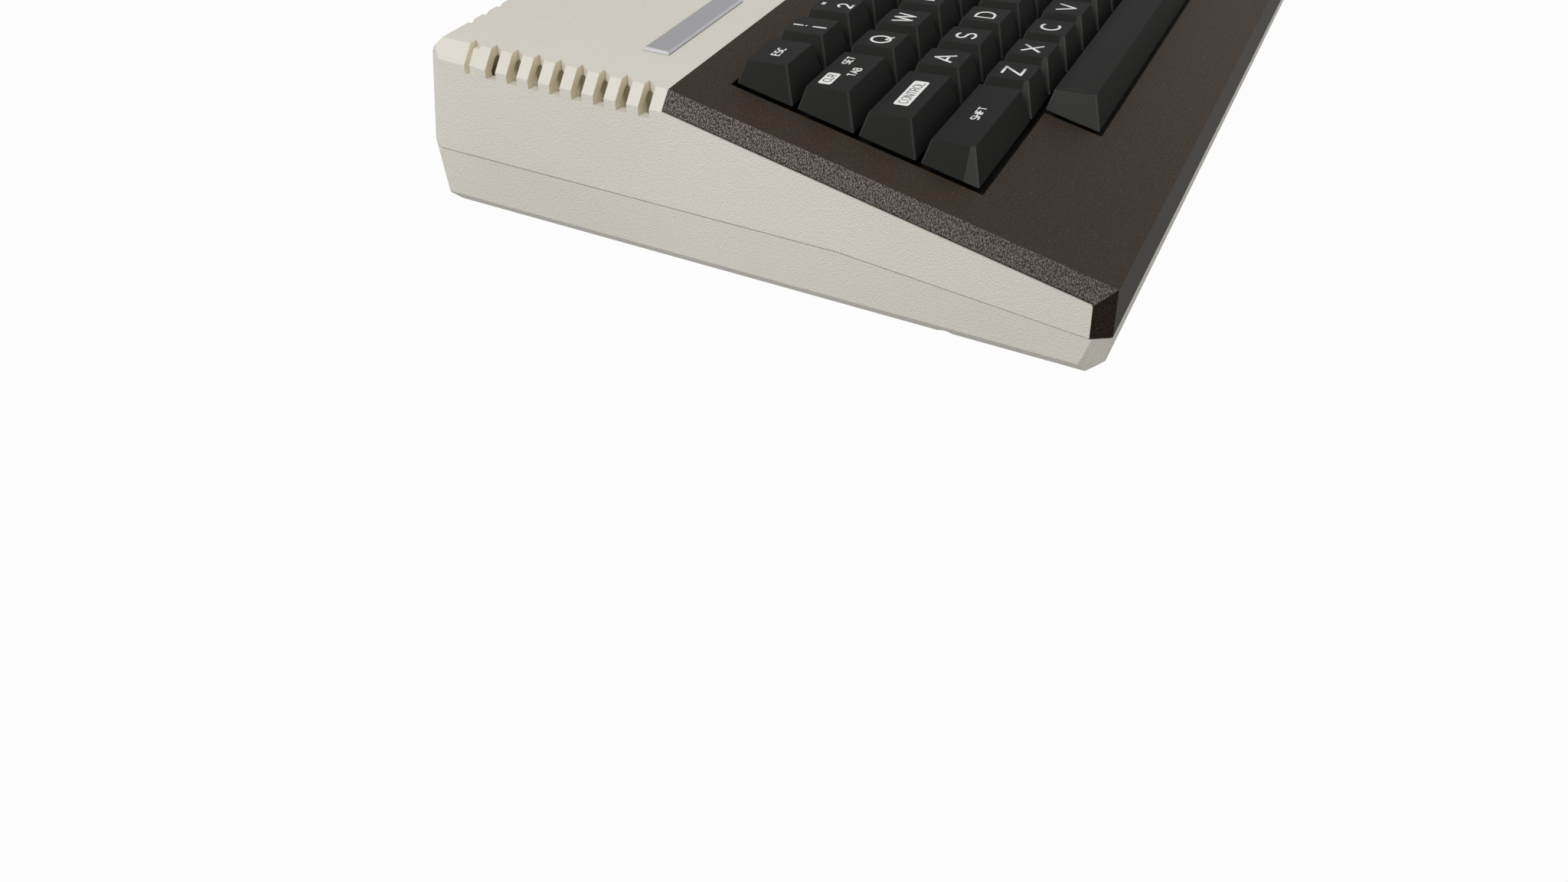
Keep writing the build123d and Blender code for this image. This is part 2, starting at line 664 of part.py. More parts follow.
def keycap(width, top_inset, crown):
    """Hollow cap with its square plungers, in its row's own frame, middle of the cell at x = 0."""
    half = width * pitch / 2
    tilt = radians(cap_tilt)
    top = ((0.0, cap_rise), (cap_top_d * cos(tilt), cap_rise - cap_top_d * sin(tilt)))
    skirt = ((-skirt_front, -skirt_w), (skirt_back, -skirt_w))
    cap = tapered_cap(half - cap_gap, skirt, half - top_inset, top, cap_edge)
    if crown > 0:
        start, end = between(top[0], top[1], 0.04), between(top[0], top[1], 0.96)
        middle = between(start, end, 0.5)
        arc = ThreePointArc(start, (middle[0] + crown * sin(tilt), middle[1] + crown * cos(tilt)), end)
        under = Polyline(end, (end[0], end[1] - cap_edge), (start[0], start[1] - cap_edge), start)
        hump = Plane.YZ * make_face(Curve() + [arc, under])
        cap += extrude(hump, amount=half - top_inset - cap_edge, both=True)
    cap -= cap_cavity(half - cap_gap - cap_wall, top_inset)
    for x in guide_posts(width):
        cap += box_between((x - stem_w / 2, x + stem_w / 2), (stem_row - stem_w / 2, stem_row + stem_w / 2),
                           (-stem_end, cap_rise - 2 * cap_wall))
    return cap.solid()


def key_places():
    """Every key: node, width and the place of its cell's middle on the bezel plane."""
    places = []
    for row, start, keys in ROWS:
        x = keys_left + start * pitch
        for node, width, count in keys:
            for _ in range(count):
                places.append((node, width, x + width * pitch / 2, row_front + row * row_pitch))
                x += width * pitch
    return places


# ---------------------------------------------------------------- keyboard frame, membrane, back plate
post_xs = (-frame_x + post_r, keys_left + key_units * pitch + well_gap_x + post_r + post_margin,
           frame_x - post_r)
post_ss = (frame_front + post_r + post_margin, console_front + 1.5 * console_pitch,
           frame_back - post_r - post_margin)
bezel_posts = [(x, s) for x in post_xs for s in post_ss]


def plunger_spots():
    """Sleeve places on the bezel plane, typewriter keys then console keys."""
    spots = []
    for _, width, x, s in key_places():
        spots += [(x + dx, s + stem_row) for dx in guide_posts(width)]
    for i in range(len(console_names)):
        spots.append((console_x, console_front + i * console_pitch))
    return spots


def keyboard_frame():
    """Moulded plate with a square sleeve round every plunger."""
    plate = box_between((-frame_x, frame_x), (frame_front, frame_back), (-frame_top - frame_t, -frame_top))
    sleeve = box_between((-sleeve_w / 2, sleeve_w / 2), (-sleeve_w / 2, sleeve_w / 2),
                         (-sleeve_end, -frame_top + sleeve_rise))
    hole_w = stem_w + 2 * sleeve_gap
    hole = Box(hole_w, hole_w, 60)
    spots = plunger_spots()
    body = plate + [Pos(x, s, 0) * sleeve for x, s in spots]
    body -= [Pos(x, s, 0) * hole for x, s in spots]
    return (bezel * body).solid()


def keyboard_layer(top, thickness):
    """Flat layer under the sleeves."""
    m = backplate_margin
    return bezel * box_between((-frame_x + m, frame_x - m), (frame_front + m, frame_back - m),
                               (-top - thickness, -top))


# ---------------------------------------------------------------- console keys and lamp
def console_key():
    """Bright key with a slightly tilted, bevelled top and one plunger."""
    half_x, half_s = console_w / 2, console_d / 2
    edge_s = half_s - console_inset
    fall = 2 * edge_s * tan(radians(console_tilt))
    top = ((-edge_s, console_rise), (edge_s, console_rise - fall))
    cap = tapered_cap(half_x, ((-half_s, 0.0), (half_s, 0.0)), half_x - console_inset, top, cap_edge)
    cap += extrude(cap_section(half_x, (-half_s, 0.0), (half_s, 0.0), cap_edge), amount=-console_skirt)
    cap -= box_between((-half_x + cap_wall, half_x - cap_wall), (-half_s + cap_wall, half_s - cap_wall),
                       (-console_skirt - 1, console_rise - fall - cap_wall))
    cap += box_between((-stem_w / 2, stem_w / 2), (-stem_w / 2, stem_w / 2),
                       (-stem_end, console_rise - fall - cap_wall + 0.1))
    return cap.solid()


def power_lamp():
    """Red lens that stands on the keyboard frame and shows through the bezel."""
    lens = box_between((-lamp_w / 2, lamp_w / 2), (-lamp_d / 2, lamp_d / 2), (-frame_top, lamp_proud))
    return bezel * Pos(console_x, lamp_s, 0) * lens


# ---------------------------------------------------------------- cartridge slot
def cartridge_guide():
    """Open-ended tube in the deck with a flange under it and bearings for the door pins."""
    top = deck_z - guide_sink
    half_x, half_y = mouth_w / 2, mouth_d / 2
    outer_x, outer_y = half_x + guide_wall, half_y + guide_wall
    under_deck = deck_z - upper_wall
    body = box_between((-outer_x, outer_x), (-outer_y, outer_y), (guide_low_z, top))
    body += box_between((-outer_x - flange_w, outer_x + flange_w), (-outer_y - flange_w, outer_y + flange_w),
                        (under_deck - flange_t, under_deck))
    body -= box_between((-half_x, half_x), (-half_y, half_y), (0, 2 * deck_z))
    for side in (-1, 1):
        y = side * (half_y - door_axis_in)
        body -= Pos(0, y, door_axis_z) * Rot(0, 90, 0) * Cylinder(door_pin_r + pin_gap, 4 * half_x)
    return (Pos(0, slot_y, 0) * body).solid()


def slot_door(side):
    """Flap with a hinge barrel and end pins, closed over one half of the mouth."""
    half_x = mouth_w / 2 - door_gap
    axis_y = mouth_d / 2 - door_axis_in
    flap = box_between((-half_x, half_x), (door_gap / 2, axis_y), (-door_t / 2, door_t / 2))
    barrel = Pos(0, axis_y, 0) * Rot(0, 90, 0) * Cylinder(door_barrel_r, 2 * half_x)
    pins = Pos(0, axis_y, 0) * Rot(0, 90, 0) * Cylinder(door_pin_r, mouth_w + 2 * guide_wall - 0.6)
    leaf = flap + [barrel, pins]
    if side < 0:
        leaf = mirror(leaf, Plane.XZ)
    return (Pos(0, slot_y, door_axis_z) * leaf).solid()


def cartridge_socket():
    """Edge connector that stands on the main board under the guide."""
    body = Pos(0, slot_y, board_top) * Box(socket_w, socket_d, socket_h, align=(
        Align.CENTER, Align.CENTER, Align.MIN))
    body -= box_between((-socket_slot_w / 2, socket_slot_w / 2),
                        (slot_y - socket_slot_t / 2, slot_y + socket_slot_t / 2),
                        (board_top + socket_h - socket_slot_depth, board_top + socket_h + 1))
    for side in (-1, 1):
        body += box_between((side * (socket_w / 2 + 3) - 4, side * (socket_w / 2 + 3) + 4),
                            (slot_y - 3, slot_y + 3), (board_top, board_top + 5))
    return body.solid()


# ---------------------------------------------------------------- boards, shield, modulator can
def main_board():
    """Glass-fibre board on the lower case's posts."""
    board = box_between((board_left, board_right), (board_front, board_back), (board_z, board_top))
    boss_x, boss_y = screw_spots[1]
    notch = box_between((boss_x - boss_r - 3, board_right + 1), (boss_y - boss_r - 3, board_back + 1),
                        (board_z - 1, board_top + 1))
    return (board - notch).solid()


def board_chips():
    """Dual in-line packages in rows under the shield, and the voltage regulator block."""
    chips = []
    run, depth = shield_x[1] - shield_x[0], shield_y[1] - shield_y[0]
    rows = [(0.22, ((0.11, 0.21), (0.38, 0.21), (0.62, 0.15))),
            (0.54, ((0.11, 0.21), (0.38, 0.21), (0.62, 0.15))),
            (0.84, ((0.11, 0.15), (0.34, 0.15)))]
    for along, chips_in_row in rows:
        y = shield_y[0] + depth * along
        for middle, length in chips_in_row:
            x, half = shield_x[0] + run * middle, run * length / 2
            chips.append(box_between((x - half, x + half), (y - depth / 10, y + depth / 10),
                                     (board_top, board_top + chip_t)))
    for along in (0.25, 0.62):
        for i in range(4):
            x, y = shield_x[0] + run * (0.77 + i * 0.053), shield_y[0] + depth * along
            chips.append(box_between((x - run * 0.014, x + run * 0.014), (y - depth / 7, y + depth / 7),
                                     (board_top, board_top + chip_t)))
    return chips


def rf_shield():
    """Folded sheet lid over the logic part of the board, open below, with a row of slots."""
    outer = box_between(shield_x, shield_y, (board_top, board_top + shield_h))
    t = shield_t
    inner = box_between((shield_x[0] + t, shield_x[1] - t), (shield_y[0] + t, shield_y[1] - t),
                        (board_top - 1, board_top + shield_h - t))
    lid = outer - inner
    middle_x, middle_y = sum(shield_x) / 2, sum(shield_y) / 2
    lid -= [Pos(middle_x, middle_y, board_top + shield_h) * place * Box(shield_slot_w, shield_slot_l, 4)
            for place in GridLocations(shield_slot_pitch, 1, shield_slots, 1)]
    return lid.solid()


def rf_modulator():
    """Sheet can that carries the television jack and the channel switch."""
    can = box_between(can_x, (can_front, board_back), (board_top, board_top + can_h))
    lid_line = box_between((can_x[0] - 1, can_x[1] + 1), (can_front - 1, board_back + 1),
                           (board_top + can_h - 4, board_top + can_h - 3.7))
    core = box_between((can_x[0] + 0.3, can_x[1] - 0.3), (can_front + 0.3, board_back - 0.3),
                       (board_top, board_top + can_h - 0.5))
    return (can - (lid_line - core)).solid()


# ---------------------------------------------------------------- connectors
def d_outline(w, h, slant=1.2):
    """Trapezoid with the long side up, as a D-shaped connector has."""
    return Polyline((-w / 2, h / 2), (w / 2, h / 2), (w / 2 - slant, -h / 2), (-w / 2 + slant, -h / 2),
                    close=True)


def controller_ports():
    """Two plug bodies with D-shaped shells, on the board behind the side openings."""
    ports = []
    for y in port_ys:
        body = box_between((flange_x - port_body_d, flange_x), (y - port_body_w / 2, y + port_body_w / 2),
                           (board_top, port_z + port_body_w / 5))
        plane = Plane(origin=(flange_x, y, port_z), x_dir=(0, 1, 0), z_dir=(1, 0, 0))
        outer = extrude(plane * make_face(d_outline(shell_w, shell_h)), amount=shell_l)
        bore = d_outline(shell_w - 2 * shell_t, shell_h - 2 * shell_t)
        inner = extrude(plane * make_face(bore), amount=shell_l)
        ports.append((body + (outer - inner)).solid())
    return ports


def peripheral_port():
    """Housing of the 13-pin port: a shroud with a deep D-shaped recess, on the board."""
    y_back = face_y - shroud_depth - 4.5
    across_x = (peripheral_x - peripheral_w / 2, peripheral_x + peripheral_w / 2)
    body = box_between(across_x, (y_back, face_y), (panel_z - peripheral_h / 2, panel_z + peripheral_h / 2))
    body += box_between(across_x, (y_back, board_back), (board_top, panel_z - peripheral_h / 2 + 1))
    plane = Plane(origin=(peripheral_x, face_y, panel_z), x_dir=(-1, 0, 0), z_dir=(0, 1, 0))
    body -= extrude(plane * make_face(d_outline(recess_w, recess_h, recess_slant)), amount=-shroud_depth)
    return body.solid()


def connector_pins():
    """Contacts of the controller ports and of the peripheral port, each from the floor of its recess."""
    pins = []
    for y in port_ys:
        for row, count in ((1, 5), (-1, 4)):
            for i in range(count):
                place = (y + (i - (count - 1) / 2) * pin_pitch, port_z + row * pin_pitch / 2)
                pins.append(Pos(flange_x, *place) * Rot(0, 90, 0) * Cylinder(
                    port_pin_r, shell_l - 1.4, align=(Align.CENTER, Align.CENTER, Align.MIN)))
    for row, count in ((1, 7), (-1, 6)):
        for i in range(count):
            x = peripheral_x + (i - (count - 1) / 2) * shroud_pin_pitch
            pins.append(cylinder_y(x, panel_z + row * shroud_pin_pitch / 2.3, shroud_pin_r,
                                   face_y - shroud_depth, face_y - shroud_depth + shroud_pin_l))
    return pins


def din_socket(x, pins):
    """Round multi-pin socket in a square block that stands on the board."""
    z = din_z
    half = din_body / 2
    body = box_between((x - half, x + half), (face_y - 16, face_y - 2.0), (board_top, z + half))
    body += cylinder_y(x, z, din_r, face_y - 3, face_y)
    body -= cylinder_y(x, z, din_r - 0.9, face_y - 1.5, face_y + 1)
    body -= box_between((x - 1.2, x + 1.2), (face_y - 4.5, face_y + 1), (z - din_r + 1.0, z - din_r + 3.0))
    spread = 180.0 if pins == 5 else 270.0
    for i in range(pins):
        a = radians(90 - spread / 2 + i * spread / (pins - 1))
        body -= cylinder_y(x + 4.1 * cos(a), z + 4.1 * sin(a), 0.9, face_y - 9, face_y + 1)
    return body.solid()


def tv_jack():
    """Coaxial jack on the modulator can."""
    flange = cylinder_y(jack_x, panel_z, jack_r + 1.2, board_back, board_back + 1.5)
    barrel = cylinder_y(jack_x, panel_z, jack_r, board_back + 1, rear_seam_y - 1.0)
    bore = cylinder_y(jack_x, panel_z, jack_pin_r, board_back + 1.5, rear_seam_y + 1)
    return (flange + barrel - bore).solid()


def bus_cover():
    """Plug-in cover over the expansion connector, with a finger ridge."""
    w, h = bus_w / 2, bus_h / 2
    cover = box_between((bus_x - w, bus_x + w), (face_y - 3.0, face_y), (panel_z - h, panel_z + h))
    for dx in (-12, -6, 0, 6, 12):
        cover += box_between((bus_x + dx - 0.8, bus_x + dx + 0.8), (face_y - 1, face_y + 1.0),
                             (panel_z - h + 2.5, panel_z + h - 2.5))
    for side in (-1, 1):
        cover += box_between((bus_x + side * (w - 4) - 1, bus_x + side * (w - 4) + 1),
                             (board_back - 6, face_y - 2.8), (board_top, panel_z + 3))
    return cover.solid()


def channel_switch_housing():
    """Small slide switch body on the modulator can, with the slider's track."""
    y1 = board_back + channel_d
    body = box_between((channel_x - channel_w / 2, channel_x + channel_w / 2), (board_back, y1),
                       (panel_z - channel_h / 2, panel_z + channel_h / 2))
    reach = (channel_travel + slider_w) / 2 + pin_gap
    half_z = slider_h / 2 + pin_gap
    body -= box_between((channel_x - reach, channel_x + reach), (y1 - slider_depth - pin_gap, y1 + 1),
                        (panel_z - half_z, panel_z + half_z))
    return body.solid()


def channel_slider():
    """Slider knob at the left end of its track."""
    y1 = board_back + channel_d
    x0 = channel_x - (channel_travel + slider_w) / 2
    return box_between((x0, x0 + slider_w), (y1 - slider_depth, y1 + slider_proud),
                       (panel_z - slider_h / 2, panel_z + slider_h / 2))


def rocker_profile():
    """Plan of the rocker, level, about its pivot: two shallow front faces and a round back."""
    half = rocker_w / 2
    front = face_y + 0.2 - rocker_pivot_y
    rise = half * tan(radians(rocker_angle))
    return [(-half, front + rise), (0, front), (half, front + rise), (half, front - 2.5), (3.5, -2.5),
            (-3.5, -2.5), (-half, front - 2.5)]


def power_rocker():
    """Rocker of the power switch, at rest with its left end out."""
    plan = extrude(make_face(Polyline(*rocker_profile(), close=True)), amount=rocker_h / 2, both=True)
    pin = Cylinder(rocker_pin_r, rocker_h + 2 * switch_wall - 0.4)
    return (Pos(rocker_x, rocker_pivot_y, panel_z) * Rot(0, 0, rocker_angle) * (plan + pin)).solid()


def power_switch_housing():
    """Box round the rocker, open at the back, with bearings for its pin."""
    half_x = rocker_w / 2 + 1.6 + switch_wall
    half_z = rocker_h / 2 + 0.3 + switch_wall
    y0 = rocker_pivot_y - 8.0
    body = box_between((-half_x, half_x), (y0, face_y), (-half_z, half_z))
    body -= box_between((-half_x + switch_wall, half_x - switch_wall), (y0 + switch_wall, face_y + 1),
                        (-half_z + switch_wall, half_z - switch_wall))
    body -= Pos(0, rocker_pivot_y, 0) * Cylinder(rocker_pin_r + pin_gap, 4 * half_z)
    body += box_between((-half_x, half_x), (y0, y0 + 6), (board_top - panel_z, -half_z + switch_wall / 2))
    return (Pos(rocker_x, 0, panel_z) * body).solid()


# ---------------------------------------------------------------- feet and screws
def rubber_feet():
    """Four round feet in the recesses of the lower case."""
    feet = []
    for side in (-1, 1):
        for y in foot_ys:
            foot = cylinder_z(side * foot_x, y, foot_r, 0, foot_h + foot_sink)
            feet.append(chamfer(foot.faces().sort_by(Axis.Z)[0].edges(), 0.8))
    return feet


def case_screws():
    """Pan-head screws, up through the lower case into the upper case's bosses."""
    screws = []
    for x, y in screw_spots:
        head_z = foot_h + screw_sink
        head = cylinder_z(x, y, screw_head_r, head_z - screw_head_h, head_z)
        screws.append(head + cylinder_z(x, y, screw_shank_r, head_z - 1, seam_at(y) + 8))
    return screws


# ---------------------------------------------------------------- build
save("upper_case", upper_case())
save("lower_case", lower_case())
save("keyboard_bezel", keyboard_bezel())
save("badge_plate", badge_plate())

caps = {width: keycap(width, cap_top_inset, 0.0) for width in (1, 1.25, 1.5, 1.75, 2.0, 2.5)}
caps[space_cells[1]] = keycap(space_cells[1], space_inset, space_crown)
nodes = {}
for node, width, x, s in key_places():
    nodes.setdefault(node, []).append(bezel * Pos(x, s, 0) * caps[width])
for node, solids in nodes.items():
    save(node, *solids)

save("keyboard_frame", keyboard_frame())
save("keyboard_membrane", keyboard_layer(sleeve_end, membrane_t))
save("keyboard_backplate", keyboard_layer(sleeve_end + membrane_t, backplate_t))
console_cap = console_key()
for i, node in enumerate(console_names):
    save(node, bezel * Pos(console_x, console_front + i * console_pitch, 0) * console_cap)
save("power_lamp", power_lamp())

save("cartridge_guide", cartridge_guide())
save("front_slot_door", slot_door(-1))
save("rear_slot_door", slot_door(1))
save("cartridge_socket", cartridge_socket())
save("main_board", main_board())
save("board_chips", *board_chips())
save("rf_shield", rf_shield())
save("rf_modulator", rf_modulator())

save("controller_ports", *controller_ports())
save("peripheral_port", peripheral_port())
save("connector_pins", *connector_pins())
save("din_sockets", din_socket(monitor_x, 5), din_socket(power_x, 7))
save("tv_jack", tv_jack())
save("bus_cover", bus_cover())
save("channel_switch_housing", channel_switch_housing())
save("channel_slider", channel_slider())
save("power_switch_housing", power_switch_housing())
save("power_rocker", power_rocker())
save("rubber_feet", *rubber_feet())
save("case_screws", *case_screws())
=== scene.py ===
import bmesh
import bpy
from math import cos, dist, radians, sin, tan
from mathutils import Matrix, Vector


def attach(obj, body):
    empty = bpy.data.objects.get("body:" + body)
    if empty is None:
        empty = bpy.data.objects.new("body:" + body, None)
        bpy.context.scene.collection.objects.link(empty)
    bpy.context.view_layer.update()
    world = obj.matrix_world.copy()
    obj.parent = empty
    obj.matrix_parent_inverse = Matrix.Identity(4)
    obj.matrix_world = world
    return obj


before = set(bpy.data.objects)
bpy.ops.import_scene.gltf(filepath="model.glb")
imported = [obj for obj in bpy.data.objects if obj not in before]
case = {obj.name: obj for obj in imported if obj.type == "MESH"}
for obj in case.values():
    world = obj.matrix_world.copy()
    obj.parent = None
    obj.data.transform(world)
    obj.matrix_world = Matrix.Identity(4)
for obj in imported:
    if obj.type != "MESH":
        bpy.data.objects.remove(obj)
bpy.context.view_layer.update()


# ---- Case halves ----
# Two injection moulded shells in warm light grey ABS, screwed together from below.
# Their outside carries a fine leather grain, softer on the sharp edges of the mould,
# and forty years of daylight have yellowed it a little.
class Wire:
    """One value, colour or vector of a finish, which adds Math nodes where it is used in arithmetic."""

    def __init__(self, tree, socket):
        self.tree, self.socket = tree, socket

    def node(self, kind, settings=(), out=0, **sockets):
        """Adds a node with its settings made first, then its sockets; gives its output.
        A socket goes by its name, or by the letter i and its number."""
        node = self.tree.nodes.new(kind)
        for name, value in dict(settings).items():
            setattr(node, name, value)
        for name, value in sockets.items():
            index = int(name[1:]) if name[1:].isdigit() else name.replace("_", " ")
            if isinstance(value, Wire):
                self.tree.links.new(value.socket, node.inputs[index])
            else:
                node.inputs[index].default_value = value
        return Wire(self.tree, node.outputs[out])

    def maths(self, operation, first, second=0.0):
        return self.node("ShaderNodeMath", {"operation": operation}, i0=first, i1=second)

    def __add__(self, other):
        return self.maths("ADD", self, other)

    def __sub__(self, other):
        return self.maths("SUBTRACT", self, other)

    def __rsub__(self, other):
        return self.maths("SUBTRACT", other, self)

    def __mul__(self, other):
        return self.maths("MULTIPLY", self, other)

    def __gt__(self, other):
        return self.maths("GREATER_THAN", self, other)

    def __lt__(self, other):
        return self.maths("LESS_THAN", self, other)

    def __or__(self, other):
        return self.maths("MAXIMUM", self, other)

    def __abs__(self):
        return self.maths("ABSOLUTE", self)

    __radd__, __rmul__ = __add__, __mul__

    def ramp(self, low, high):
        """0 below low, 1 above high, straight in between."""
        return self.node("ShaderNodeMapRange", {"clamp": True}, i0=self, i1=low, i2=high)

    def tint(self, first, second):
        """Goes from one colour to another as this value goes from 0 to 1."""
        mix = {"data_type": "RGBA"}
        return self.node("ShaderNodeMix", mix, out=2, i0=self, i6=first, i7=second)


def finish(name, **fixed):
    """New material with a plain shader; gives the material, the shader and the object's coordinates."""
    material = bpy.data.materials.new(name)
    material.use_nodes = True
    tree = material.node_tree
    shader = next(n for n in tree.nodes if n.type == "BSDF_PRINCIPLED")
    for socket, value in fixed.items():
        shader.inputs[socket.replace("_", " ")].default_value = value
    place = tree.nodes.new("ShaderNodeTexCoord")
    return material, shader, Wire(tree, place.outputs["Object"])


def feed(shader, **wires):
    """Connects what varies over the surface to the sockets of the shader."""
    for name, wire in wires.items():
        wire.tree.links.new(wire.socket, shader.inputs[name.replace("_", " ")])


def noise(place, per_metre, detail, distortion=0.0, stretch=(1.0, 1.0, 1.0)):
    """Soft random pattern with a number of waves to the metre."""
    if stretch != (1.0, 1.0, 1.0):
        place = place.node("ShaderNodeMapping", Vector=place, Scale=stretch)
    return place.node("ShaderNodeTexNoise", Vector=place, Scale=per_metre, Detail=detail,
                      Distortion=distortion)


def bent(path, place, per_metre, reach):
    """Coordinates pushed about by a soft random pattern, with their reach on each axis in metres."""
    push = place.node("ShaderNodeTexNoise", out="Color", Vector=place, Scale=per_metre, Detail=1.0)
    return path.node("ShaderNodeVectorMath", {"operation": "MULTIPLY_ADD"}, i0=push, i1=reach, i2=path)


def parts_of(vector):
    """The three coordinates of a vector."""
    split = vector.node("ShaderNodeSeparateXYZ", Vector=vector).socket.node
    return [Wire(vector.tree, output) for output in split.outputs]


def normal_of(place):
    """The three coordinates of the direction in which the surface faces."""
    return parts_of(place.node("ShaderNodeNewGeometry", out="Normal"))


def relief(place, height, depth, strength=1.0, edge=0.0003):
    """Normal of a surface with this relief, depth in metres, and softly broken edges."""
    soft = place.node("ShaderNodeBevel", {"samples": 4}, Radius=edge)
    return place.node("ShaderNodeBump", Height=height, Distance=depth, Strength=strength, Normal=soft)


def dress(material, slot, *nodes):
    """Gives these pieces one finish; the slot is not used."""
    for node in nodes:
        slots = case[node].data.materials
        slots.clear()
        slots.append(material)


def colour(red, green, blue):
    """Shader colour from the three numbers, 0 to 255, that a paint chart gives."""
    linear = [((c / 255 + 0.055) / 1.055) ** 2.4 for c in (red, green, blue)]
    return (*linear, 1.0)


beige, shader, place = finish("grained light grey ABS", Specular_IOR_Level=0.3)
lean = [abs(axis) for axis in normal_of(place)]
wall, deck = 1 - lean[2].ramp(0.25, 0.45), lean[2].ramp(0.93, 0.97)
across, along, up = parts_of(place)
outer = abs(across)
# Warm bounce light inside the cooling slots is painted into their colour as a paler, yellower tone. Their
# places are in metres from the middle of the case.
slots_meet = 0.172
side_floor = (0.170, 0.1802)
side_run = (0.020, 0.0995)
rear_start = 0.0965
slot_foot = 0.0385
side_walls = (lean[1] > 0.9) * (outer > slots_meet)
side_floors = (lean[0] > 0.5) * (outer > side_floor[0]) * (outer < side_floor[1])
side_slots = (side_walls | side_floors) * (along > side_run[0]) * (along < side_run[1])
rear_slots = (lean[0] > 0.9) * (along > rear_start) * (outer < slots_meet) * 0.5
inside = (side_slots | rear_slots) * (up > slot_foot)
swirl = bent(place, place, 1200.0, (0.0004, 0.0004, 0.0004))
pebbles = swirl.node("ShaderNodeTexVoronoi", {"feature": "SMOOTH_F1"}, Vector=swirl, Scale=2200.0,
                     Smoothness=0.2)
pores = noise(place, 1900.0, 1.0, 0.3)
cloud = noise(place, 14.0, 3.0).ramp(0.35, 0.65)
dust = noise(place, 1400.0, 0.0).ramp(0.77, 0.80) * deck
tone = cloud.tint(colour(205, 201, 190), colour(209, 205, 195))
# Painted bounce light: the insides of the slots get a paler, yellower base.
tone = inside.tint(tone, colour(241, 230, 204))
grain = pebbles * (wall * 0.8 + 0.2) + pores * (deck * 0.5 + 0.1)
feed(shader, Base_Color=(dust * 0.35).tint(tone, colour(170, 160, 140)),
     Roughness=pores.ramp(0.3, 0.7) * 0.12 + 0.50,
     Normal=relief(place, grain * (1 - inside * 0.8), 0.00014))
dress(beige, "beige_plastic", "lower_case", "upper_case")


# ---- Keyboard bezel ----
# Dark brown moulding with the opening for the keys, snapped over the front of the upper shell.
# Its flat top has a fine spark finish, its chamfered sides a much coarser one, and the strip along its front
# edge is nearly smooth. Painted light: a painted shadow band along the lower edge of the chamfered sides,
# where they meet the case; painted highlights on the crests of the coarse grain, fainter towards the front;
# painted glints; and a darker base on the faces turned to the front, as painted shade.
brown, shader, place = finish("dark brown ABS", IOR=1.09)
slope = radians(11.3)
gap_shadow_level = 0.0453
fade_from, fade_to = -0.015, -0.095
across, along, up = parts_of(place)
facing = normal_of(place)
side, front = abs(facing[0]) > 0.3, facing[1] < -0.3
rough = side * (1 - front)
flat = place.node("ShaderNodeCombineXYZ", X=along * 1.35, Y=(abs(across) - up) * 0.42)
flat = bent(flat, place, 1900.0, (0.0006, 0.0006, 0.0))
worms = 1 - flat.node("ShaderNodeTexVoronoi", {"voronoi_dimensions": "2D"}, Vector=flat, Scale=2400.0)
# Painted shadow: a dark band along the lower edge of the coarse sides, where the gap to the case lies in
# shade.
gap_shadow = rough * (up - along * tan(slope) < gap_shadow_level)
forward_fade = 1 - along.ramp(fade_to, fade_from)
# Painted highlights: the crests of the coarse grain are painted pale, and fainter towards the front. The
# crests are also a little glossier. On the corner facets a few pale specks are painted as glints.
crest_with_painted_highlight = worms.ramp(0.53, 0.92) * (rough - gap_shadow) * (1 - forward_fade * 0.28)
crest_with_painted_highlight = crest_with_painted_highlight + worms.ramp(0.74, 0.96) * side * front * 0.16
spark = noise(place, 2600.0, 1.0)
glint = noise(place, 3200.0, 0.0).ramp(0.64, 0.76) * (1 - front)
tone = rough.tint(colour(57, 48, 40), colour(64, 55, 48))
# Painted shade: the faces turned to the front get a darker base, the corner facets darkest.
tone = front.tint(tone, side.tint(colour(38, 31, 26), colour(35, 26, 21)))
# Painted glints: small pale specks on the top and sides, none on the front faces.
tone = (glint * 0.28).tint(tone, colour(122, 116, 110))
# The painted shadow band along the lower edge of the coarse sides.
tone = gap_shadow.tint(tone, colour(26, 17, 12))
feed(shader, Base_Color=(crest_with_painted_highlight * 0.85).tint(tone, colour(160, 156, 153)),
     Roughness=0.50 - crest_with_painted_highlight * 0.10,
     Normal=relief(place, worms * rough * 0.8 + spark * (0.12 - front * 0.08), 0.0003))
dress(brown, "brown_plastic", "keyboard_bezel")


# ---- Badge plate ----
# Small plate of bright anodised aluminium with bevelled edges, glued into a recess of the deck. It is left
# bare. Its bevels facing the sides are painted lighter as painted highlight, those facing front and back
# darker as painted shade.
bright, shader, place = finish("bright anodised aluminium", Metallic=1.0)
brush = noise(place, 420.0, 3.0, 0.0, (1.0, 22.0, 22.0))
lean = [abs(axis) for axis in normal_of(place)]
face = brush.ramp(0.3, 0.7).tint(colour(145, 145, 147), colour(156, 156, 158))
# Painted highlight and shade: the bevels facing the sides are lighter, those facing front and back darker.
bevel = (lean[0] > 0.3).tint(colour(138, 138, 140), colour(188, 188, 190))
feed(shader, Base_Color=(lean[2] > 0.95).tint(bevel, face),
     Roughness=brush * 0.12 + 0.38,
     Normal=relief(place, brush, 0.00003, 0.4, 0.00015))
dress(bright, "bright_metal", "badge_plate")


